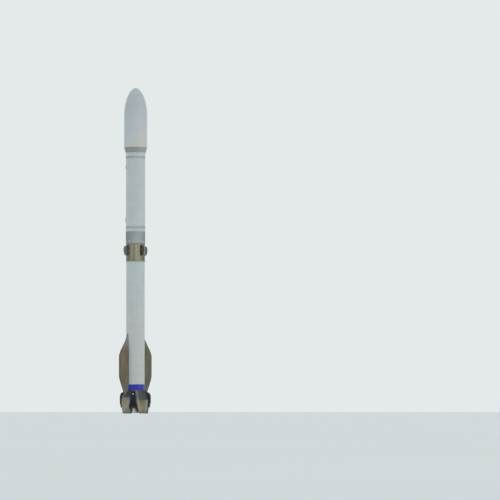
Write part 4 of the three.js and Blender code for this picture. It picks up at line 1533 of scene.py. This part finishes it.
def thrust_skirt():
    """A quilted skirt round the open engine bay, the plate that carries the engines, and ribs."""
    skirt = Form()
    wall = BAY_RADIUS + 0.5 * MM
    base = BAND_BASE - 1 * MM
    profile = [(0, THRUST_PLATE), (wall, THRUST_PLATE), (wall, SKIRT_LIP), (SKIRT_AT(SKIRT_LIP), SKIRT_LIP)]
    profile += [(SKIRT_AT(z), z) for z, _ in stations(SKIRT_LIP + 10 * MM, AFT[0]["z"], 0.02)]
    profile += [(BAND_RADIUS - 1 * MM, base), (0, base)]
    skirt.turned(profile, finish=[2, 2] + [0] * (len(profile) - 3))
    for x, y in engine_spots():
        skirt.rod((x, y, THRUST_PLATE + 5 * MM), (x, y, GIMBAL_TOP + 0.3 * MM), 0.03, 0.024, 24, 1)
    ribs = 32
    for k in range(ribs):
        place = at_side(360 * k / ribs, BAY_RADIUS - 4 * MM, (THRUST_PLATE + SKIRT_LIP) / 2 + 30 * MM)
        skirt.brick(place, (8 * MM, 9 * MM, 0.17), chamfer=1 * MM, finish=1)
    make_piece(skirt, "thrust_skirt_shell", [QUILT, DARK_STEEL, QUILT_PALE],
               stands_for=["thrust_skirt"])


def shield_boots():
    """Cloth boots round the engines' holes in the shield, each in a ring of fasteners."""
    boots = Form()
    tube = 7 * MM
    bolt_radius = ENGINE_HOLE + 19 * MM
    facing_down = Matrix.Rotation(-math.pi / 2, 4, "X")
    for x, y in engine_spots():
        rolled = hoop(ENGINE_HOLE + 6 * MM, SHIELD_LOW - 1 * MM, tube, sides=10, flat=0.8)
        boots.turned(rolled, 48, centre=(x, y), closed=True)
        for a in circle(16):
            spot = Vector((x + bolt_radius * math.cos(a), y + bolt_radius * math.sin(a), SHIELD_LOW))
            if spot.xy.length < BAY_RADIUS - 8 * MM:
                boots.stud(Matrix.Translation(spot) @ facing_down, 3 * MM, 2.5 * MM, finish=1)
    make_piece(boots, "heat_shield_boots", [QUILT_PALE, STEEL])


def heat_shield():
    """The base heat shield: a quilted blanket, cut out round each engine."""
    rim = BAY_RADIUS - 0.3 * MM
    steps = 5

    def surface(x, y, lift):
        if lift < -1 * MM:
            return (x, y, SHIELD_HIGH)
        return (x, y, SHIELD_LOW + QUILT_DEPTH * (1 - pillow(x, y)))

    cells = math.ceil((BAY_RADIUS + 20 * MM) / QUILT_PITCH)
    lines = [(k * QUILT_PITCH / steps, 0.0) for k in range(-cells * steps, cells * steps + 1)]
    blanket = Form()
    blanket.skin(surface, lines, lines, SHIELD_HIGH - SHIELD_LOW)
    disc = Form()
    disc.turned([(0, 0), (rim, 0), (rim, 1), (0, 1)])
    holes = Form()
    for spot in engine_spots():
        holes.turned([(0, 0), (ENGINE_HOLE, 0), (ENGINE_HOLE, 1), (0, 1)], 72, centre=spot)
    make_piece(blanket, "heat_shield_blanket", [QUILT_PALE],
               stands_for=["base_heat_shield"], cuts=[(disc, "INTERSECT"), (holes, "DIFFERENCE")])


def aft_plate(plate, azimuth, outer_at, half_at, coat_height):
    """A fairing's curved plate, in panels between joints, with a raised border beside both legs."""
    # Where the joints between panels lie and the border's coat starts, as shares of the half width.
    joint = 0.3
    border = 0.63

    def rim_at(share, z):
        """How far the border lifts the surface: 0 in the middle, 1 on the border."""
        from_edge = (1 - abs(share)) * half_at(z)
        return min(1.0, max(0.0, (RIM_WIDTH + RIM_BEND - from_edge) / RIM_BEND))

    def surface(share, z, lift):
        a = math.radians(azimuth + share * half_at(z))
        radius = outer_at(z) + lift + RIM_LIFT * rim_at(share, z)
        # The back, which skin asks for with a lift of -1, lies over the thrust skirt, quilted above the shoe.
        if lift <= -0.5:
            radius = SKIRT_AT(z) + 1.5 * MM
            fullness = pillow(radius * math.sin(a), radius * math.cos(a), z)
            radius += QUILT_DEPTH * (1 - fullness) if z > SHOE_HEIGHT else 0.0
        return (radius * math.sin(a), -radius * math.cos(a), z)

    tones = {}

    def tone_at(share, z):
        # Above the coat line the tone runs from light at the lower azimuth edge to dark at the higher one:
        # painted shade where the fairing turns away from the light.
        if z > coat_height:
            return 0.5 + 0.5 * share
        panel = (round(share / 0.62), sum(z > joint for joint in AFT_JOINTS))
        if panel not in tones:
            tones[panel] = random.uniform(0.0, 1.0)
        return tones[panel]

    def finish_at(share, z):
        if share < -border or share > border and z < coat_height:
            return 1
        if z > coat_height:
            return 2
        return 3 if share > joint else 0

    along = stations(SHOE_HEIGHT, 0.872, 0.016, AFT_JOINTS, JOINT_WIDTH, edge=3 * MM, edge_width=4 * MM)
    # The border's columns follow its own width at the fairing's widest; between them lie two joints.
    widest = 37
    inner = 1 - (RIM_WIDTH + RIM_BEND) / widest
    columns = stations(-inner, inner, 0.05, [-joint, joint], 0.014)
    rim = [(1 - degrees / widest, 0.0) for degrees in (RIM_WIDTH, 5.0, 3.5, 2.0, 0.5)] + [(1.0, 3 * MM)]
    across = [(-share, sunk) for share, sunk in reversed(rim)] + columns + rim
    # The back takes the near-white cloth, which lightens the shaded bay between the fairings: painted light.
    plate.skin(surface, across, along, 1.0, tone_at=tone_at, finish_at=finish_at, back_finish=6)
    for z in (0.17, 0.23, 0.36, 0.43, 0.57, 0.62):
        for turn in (-1, 1):
            share = turn * (1 - 3.2 / half_at(z))
            place = at_side(azimuth + share * half_at(z), outer_at(z) + RIM_LIFT, z)
            plate.stud(place, 2.6 * MM, 1.5 * MM, finish=4)


def hold_down_shoe(plate, azimuth, radius, half):
    """The fairing's lower edge, which the rocket stands on, with its bolts."""
    across = stations(azimuth - half, azimuth + half, 2.0, edge=3 * MM, edge_width=0.5)
    up = stations(0.0, SHOE_HEIGHT + 10 * MM, 0.01, edge=2 * MM, edge_width=3 * MM)
    plate.skin(on_body(lambda z: radius), across, up, radius - SKIRT_AT(0.0) - 0.8 * MM, finish=4)
    for share in (-0.8, -0.4, 0, 0.4, 0.8):
        plate.stud(at_side(azimuth + share * half, radius, 12 * MM), 4 * MM, 3 * MM, finish=5)


def aft_fairings():
    """Four fairings between the legs, each in two coats that meet at a height of its own."""
    outer_at = along_table(AFT, "fairing")
    leg_at = along_table(AFT, "leg_half")

    def half_at(z):
        return 45 - leg_at(z) - LEG_CLEARANCE

    warm = [SAND, SAND_EDGE, SAND_SCORCHED_SHADED, SAND_GREY]
    cool = [SAND_GREY, SAND_EDGE, SAND_SCORCHED_SHADED, SAND]
    rosy = [SAND_ROSE, SAND_EDGE, SAND_SCORCHED_SHADED, SAND_ROSE]
    coats = (("front", warm, COAT_HEIGHT), ("right", warm, COAT_HEIGHT), ("rear", cool, COAT_HEIGHT),
             ("left", rosy, 0.6))
    for k, (side, finishes, coat_height) in enumerate(coats):
        plate = Form()
        aft_plate(plate, 90 * k, outer_at, half_at, coat_height)
        hold_down_shoe(plate, 90 * k, outer_at(0.0) + 2 * MM, half_at(0.0) * 0.97)
        make_piece(plate, f"aft_fairing_{side}_skin", [*finishes, DARK_STEEL, STEEL, QUILT_PALE],
                   stands_for=[f"aft_fairing_{side}"])


def leg_shell(leg, azimuth, outer_at, half_at):
    """A leg's skin with a sunk pan between two rails, and ribs across it."""
    # How far the pan reaches, as a share of the leg's half width.
    pan = 0.68

    def surface(share, z, lift):
        a = math.radians(azimuth + share * half_at(z))
        # The back, which skin asks for with a lift of -1, lies over the thrust skirt.
        radius = SKIRT_AT(z) + 1.5 * MM if lift <= -0.5 else outer_at(z) + lift
        return (radius * math.sin(a), -radius * math.cos(a), z)

    def finish_at(share, z):
        return 0 if abs(share) < pan and any(start < z < end for start, end in LEG_WELLS) else 3

    slope = 3 * MM
    across = stations(-1.0, 1.0, 0.12, [0.0], 2 * pan, LEG_PAN, edge=3 * MM, edge_width=0.03)
    along = stations(LEG_LOW, LEG_HIGH, 0.02, edge=3 * MM, edge_width=4 * MM)
    for start, end in LEG_WELLS:
        along = [m for m in along if not start - slope < m[0] < end + slope]
        along += [(z, LEG_PAN) for z, _ in stations(start + 10 * MM, end - 10 * MM, 0.02)]
        along += [(start - slope, 0.0), (start, LEG_PAN), (end, LEG_PAN), (end + slope, 0.0)]
    # The back takes the near-white cloth too, which lightens the shaded bay: painted light.
    leg.skin(surface, across, sorted(along), 1.0, both=True, finish_at=finish_at, back_finish=2)


def landing_leg(number, azimuth):
    """A folded leg: its shell, and what lies in its pan and at its hinge."""
    outer_at = along_table(LEG, "outer")
    half_at = along_table(LEG, "half")
    leg = Form()
    leg_shell(leg, azimuth, outer_at, half_at)
    # A pusher with its rod lies in the pan, and stiffeners run beside it in each well.
    place = at_side(azimuth, outer_at(0.43) - 9 * MM, 0)
    leg.rod((0, 0, 0.40), (0, 0, 0.53), 8.5 * MM, 8.5 * MM, 20, 3, place)
    leg.rod((0, 0, 0.53), (0, 0, 0.64), 5 * MM, 5 * MM, 16, 1, place)
    leg.rod((-0.016, 0, 0.645), (0.016, 0, 0.645), 6 * MM, 6 * MM, 16, 3, place)
    for z in (0.415, 0.52):
        leg.brick(place, (0.024, 0.012, 0.014), (0, 0, z), finish=3)
    for start, end in LEG_WELLS:
        for side in (-1, 1):
            rings = []
            for z, _ in stations(start + 4 * MM, end - 4 * MM, 0.02):
                spot = at_side(azimuth + side * half_at(z) * 0.36, outer_at(z) - LEG_PAN, z)
                corners = ((-3, -3), (3, -3), (1.5, 4), (-1.5, 4))
                rings.append([tuple(spot @ Vector((x * MM, y * MM, 0))) for x, y in corners])
            leg.loft(rings, finish=3)
    # The hinge that the leg swings out on is at its lower end.
    place = at_side(azimuth, outer_at(0.25) + 3 * MM, 0.25)
    leg.rod((-0.085, 0, 0), (0.085, 0, 0), 14 * MM, 14 * MM, 24, 1, place)
    for x in (-0.06, 0, 0.06):
        leg.brick(place, (0.022, 0.03, 0.042), (x, -6 * MM, 0), 3 * MM)
    # Fasteners run up both rails.
    for side in (-1, 1):
        for z in (0.31, 0.44, 0.57):
            spot = at_side(azimuth + side * half_at(z) * 0.86, outer_at(z), z)
            leg.stud(spot, 2.8 * MM, 1.8 * MM, finish=1)
    make_piece(leg, f"landing_leg_{number}_skin", [LEG_BLACK, DARK_STEEL, QUILT_PALE, LEG_RAIL],
               stands_for=[f"landing_leg_{number}"])


def leg_foot(number, azimuth):
    """The round pad at the folded leg's top, square to the leg's slope there."""
    outer_at = along_table(LEG, "outer")
    rise = 5 * MM
    lean = math.atan2(outer_at(FOOT_HEIGHT - rise) - outer_at(FOOT_HEIGHT + rise), 2 * rise)
    place = at_side(azimuth, outer_at(FOOT_HEIGHT) - LEG_PAN, FOOT_HEIGHT) @ Matrix.Rotation(lean, 4, "X")
    foot = Form()
    foot.rod((0, -3 * MM, 0), (0, 13 * MM, 0), 0.028, 0.0335, 40, 1, place)
    foot.rod((0, 12 * MM, 0), (0, 18 * MM, 0), 0.0335, 0.031, 40, 0, place)
    foot.rod((0, 17 * MM, 0), (0, 19.5 * MM, 0), 0.02, 0.018, 32, 0, place)
    foot.bolt_circle(place, 8, 0.0255, 17.5 * MM, 2 * MM, 1.6 * MM, 1)
    make_piece(foot, f"leg_foot_{number}_pad", [PAD_GREY, STEEL],
               stands_for=[f"leg_foot_{number}"])


def landing_legs():
    """Four legs between the aft fairings, each with its foot."""
    for k in range(4):
        landing_leg(k + 1, 45 + 90 * k)
        leg_foot(k + 1, 45 + 90 * k)


# Engines
def bell_radius(share):
    """The bell's radius at a share of the way from throat to exit."""
    return THROAT_RADIUS + (EXIT_RADIUS - THROAT_RADIUS) * share**0.62


def bell(motor, spot):
    """A bell of brazed tubes with its lining, in one closed skin, with bands round it."""
    wall = 3.5 * MM
    tubes = 36
    rows = 22
    outer = []
    inner = []
    for i in range(rows + 1):
        share = (i / rows) ** 1.4
        z = THROAT - share * (THROAT - BELL_EXIT)
        outer.append((bell_radius(share), z))
        inner.append((bell_radius(share) - wall, z))

    def flute(a, z):
        """The tubes' rounding, which fades out at the throat."""
        fade = min(1.0, (THROAT - z) / 0.06)
        return 1.7 * MM * (abs(math.cos(tubes * a / 2)) - 0.6) * fade

    # The skin runs down the lining, round the exit and up the outside.
    profile = [(0, THROAT - 12 * MM)] + inner[1:] + list(reversed(outer)) + [(0, THROAT)]
    motor.turned(profile, tubes * 4, [1] * rows + [0] * (rows + 2), centre=spot, wave=flute)
    rim = hoop(bell_radius(1) - 0.5 * MM, BELL_EXIT + 2 * MM, 3 * MM)
    motor.turned(rim, 64, 2, centre=spot, closed=True)
    # Three thin bands, and the manifold just under the throat.
    for share, tube, finish in ((0.36, 2.2, 0), (0.55, 2.2, 0), (0.76, 2.2, 0), (0.1, 6.5, 2)):
        z = THROAT - share * (THROAT - BELL_EXIT)
        band = hoop(bell_radius(share) + tube * 0.35 * MM, z, tube * MM)
        motor.turned(band, 48, finish, centre=spot, closed=True)


def powerhead(motor, spot):
    """Chamber and injector dome, two pumps and their pipes."""
    x, y = spot
    top = GIMBAL_BASE - 0.4 * MM
    # The outline of chamber and dome: radius and height over the throat, in millimetres.
    stack = [
        (24, -2),
        (26, 8),
        (34, 25),
        (34, 52),
        (40, 55),
        (40, 66),
        (34, 70),
        (32, 95),
        (24, 112),
        (20, 125),
    ]
    profile = [(0, THROAT - 2 * MM)]
    profile += [(radius * MM, THROAT + up * MM) for radius, up in stack]
    profile += [(20 * MM, top), (0, top)]
    motor.turned(profile, 32, 2, centre=spot)
    steps = 8
    for side in (-1, 1):
        base = Vector((x + side * 36 * MM, y, THROAT + 56 * MM))
        neck = base + Vector((0, 0, 0.05))
        motor.rod(base, neck, 0.0135, 0.012, 20, 2)
        motor.rod(neck, base + Vector((0, 0, 0.06)), 0.009, 0.007, 16, 2)
        route = []
        for i in range(steps + 1):
            t = i / steps
            bow = 0.004 * math.sin(math.pi * t)
            route.append(base + Vector((side * bow, side * 0.03 * t, -0.004 - 0.034 * t * t)))
        motor.pipe(route, 4 * MM, 2)
    for side in (-1, 1):
        base = Vector((x, y + side * 33 * MM, THROAT + 30 * MM))
        route = []
        for i in range(steps + 1):
            bow = 0.009 * math.sin(math.pi * i / steps)
            route.append(base + Vector((0, side * bow, 0.06 * i / steps)))
        motor.pipe(route, 3.4 * MM, 2)


def engines():
    """The bells with their powerheads ride on the engines' bodies, under steel gimbals."""
    names = ["middle"] + [str(k + 1) for k in range(ENGINE_COUNT)]
    for name, spot in zip(names, engine_spots()):
        motor = Form()
        bell(motor, spot)
        powerhead(motor, spot)
        make_piece(motor, f"engine_{name}_bell", [NOZZLE, NOZZLE_SOOTED, DARK_STEEL],
                   body=f"engine_{name}_body", stands_for=[f"engine_{name}"])
        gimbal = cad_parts[f"gimbal_{name}"]
        gimbal.data.materials.clear()
        gimbal.data.materials.append(STEEL)


# Stage, lights and camera
def floor():
    """A wide floor just under the hold-down shoes."""
    far = 4000
    mesh = bpy.data.meshes.new("floor")
    mesh.from_pydata([(-far, -far, 0), (far, -far, 0), (far, far, 0), (-far, far, 0)], [], [(0, 1, 2, 3)])
    mesh.materials.append(floor_paint())
    sheet = bpy.data.objects.new("floor", mesh)
    sheet.location.z = -1 * MM
    bpy.context.scene.collection.objects.link(sheet)
    sheet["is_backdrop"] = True


def studio():
    """An even pale surround that lights softly from all sides, and one wide warm lamp low at the right."""
    world = bpy.data.worlds.new("studio")
    bpy.context.scene.world = world
    world.use_nodes = True
    tree = world.node_tree
    tree.nodes.clear()
    seen = add_node(tree, "Background", {"Color": linear("E4E9EA"), "Strength": 1.0})
    fill = add_node(tree, "Background", {"Color": linear("E1E9ED"), "Strength": 0.94})
    path = add_node(tree, "LightPath")
    inputs = {0: path.outputs["Is Camera Ray"], 1: fill.outputs[0], 2: seen.outputs[0]}
    mixed = add_node(tree, "MixShader", inputs)
    add_node(tree, "OutputWorld", {"Surface": mixed.outputs[0]})

    key = bpy.data.lights.new("key", "SUN")
    key.energy = LAMP_STRENGTH
    key.angle = math.radians(LAMP_WIDTH)
    key.color = linear("FFEFD6")[:3]
    lamp = bpy.data.objects.new("key", key)
    a = math.radians(LAMP_AZIMUTH)
    e = math.radians(LAMP_ELEVATION)
    towards = Vector((math.sin(a) * math.cos(e), -math.cos(a) * math.cos(e), math.sin(e)))
    lamp.rotation_euler = towards.to_track_quat("Z", "Y").to_euler()
    bpy.context.scene.collection.objects.link(lamp)
    bpy.context.scene.view_settings.view_transform = "Standard"


def camera():
    """Stands at floor level and looks past the rocket, which is left of and below the picture's middle."""
    a = math.radians(CAMERA_AZIMUTH)
    place = Vector((math.sin(a), -math.cos(a), 0)) * CAMERA_DISTANCE
    place.z = CAMERA_HEIGHT
    aside = math.asin((PHOTO_SIZE / 2 - AXIS_PIXEL) * METRES_PER_PIXEL / CAMERA_DISTANCE)
    rise = (BASE_PIXEL - PHOTO_SIZE / 2) * METRES_PER_PIXEL - CAMERA_HEIGHT
    level = math.asin(rise / CAMERA_DISTANCE)
    data = bpy.data.cameras.new("camera")
    data.sensor_width = 36
    depth = CAMERA_DISTANCE * math.cos(aside) * math.cos(level)
    data.lens = data.sensor_width * depth / (PHOTO_SIZE * METRES_PER_PIXEL)
    data.clip_start = 1
    data.clip_end = 10000
    eye = bpy.data.objects.new("camera", data)
    eye.location = place
    eye.rotation_euler = (math.pi / 2 + level, 0, a - aside)
    bpy.context.scene.collection.objects.link(eye)
    bpy.context.scene.camera = eye


camera()
floor()
studio()
nose_cap()
fairing_halves()
split_rails()
fairing_covers()
boat_tail()
forward_skirt()
welded_tank("upper_tank_shell", "upper_stage_tank", UPPER_RADIUS, barrels=8)
aft_skirt()
raceway("upper_raceway_cover", "upper_stage_raceway", UPPER_RADIUS, straps=10)
umbilical_panels()
interstage()
forward_module()
module_brackets()
fins()
welded_tank("booster_tank_shell", "booster_tank", BOOSTER_RADIUS, barrels=12)
base_band()
raceway("booster_raceway_cover", "booster_raceway", BOOSTER_RADIUS, straps=18)
strakes()
thrust_skirt()
shield_boots()
heat_shield()
aft_fairings()
landing_legs()
engines()

boxes = {"cad": cad_bounds, "visual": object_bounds()}
{name: [list(corner) for corner in box] for name, box in boxes.items()}
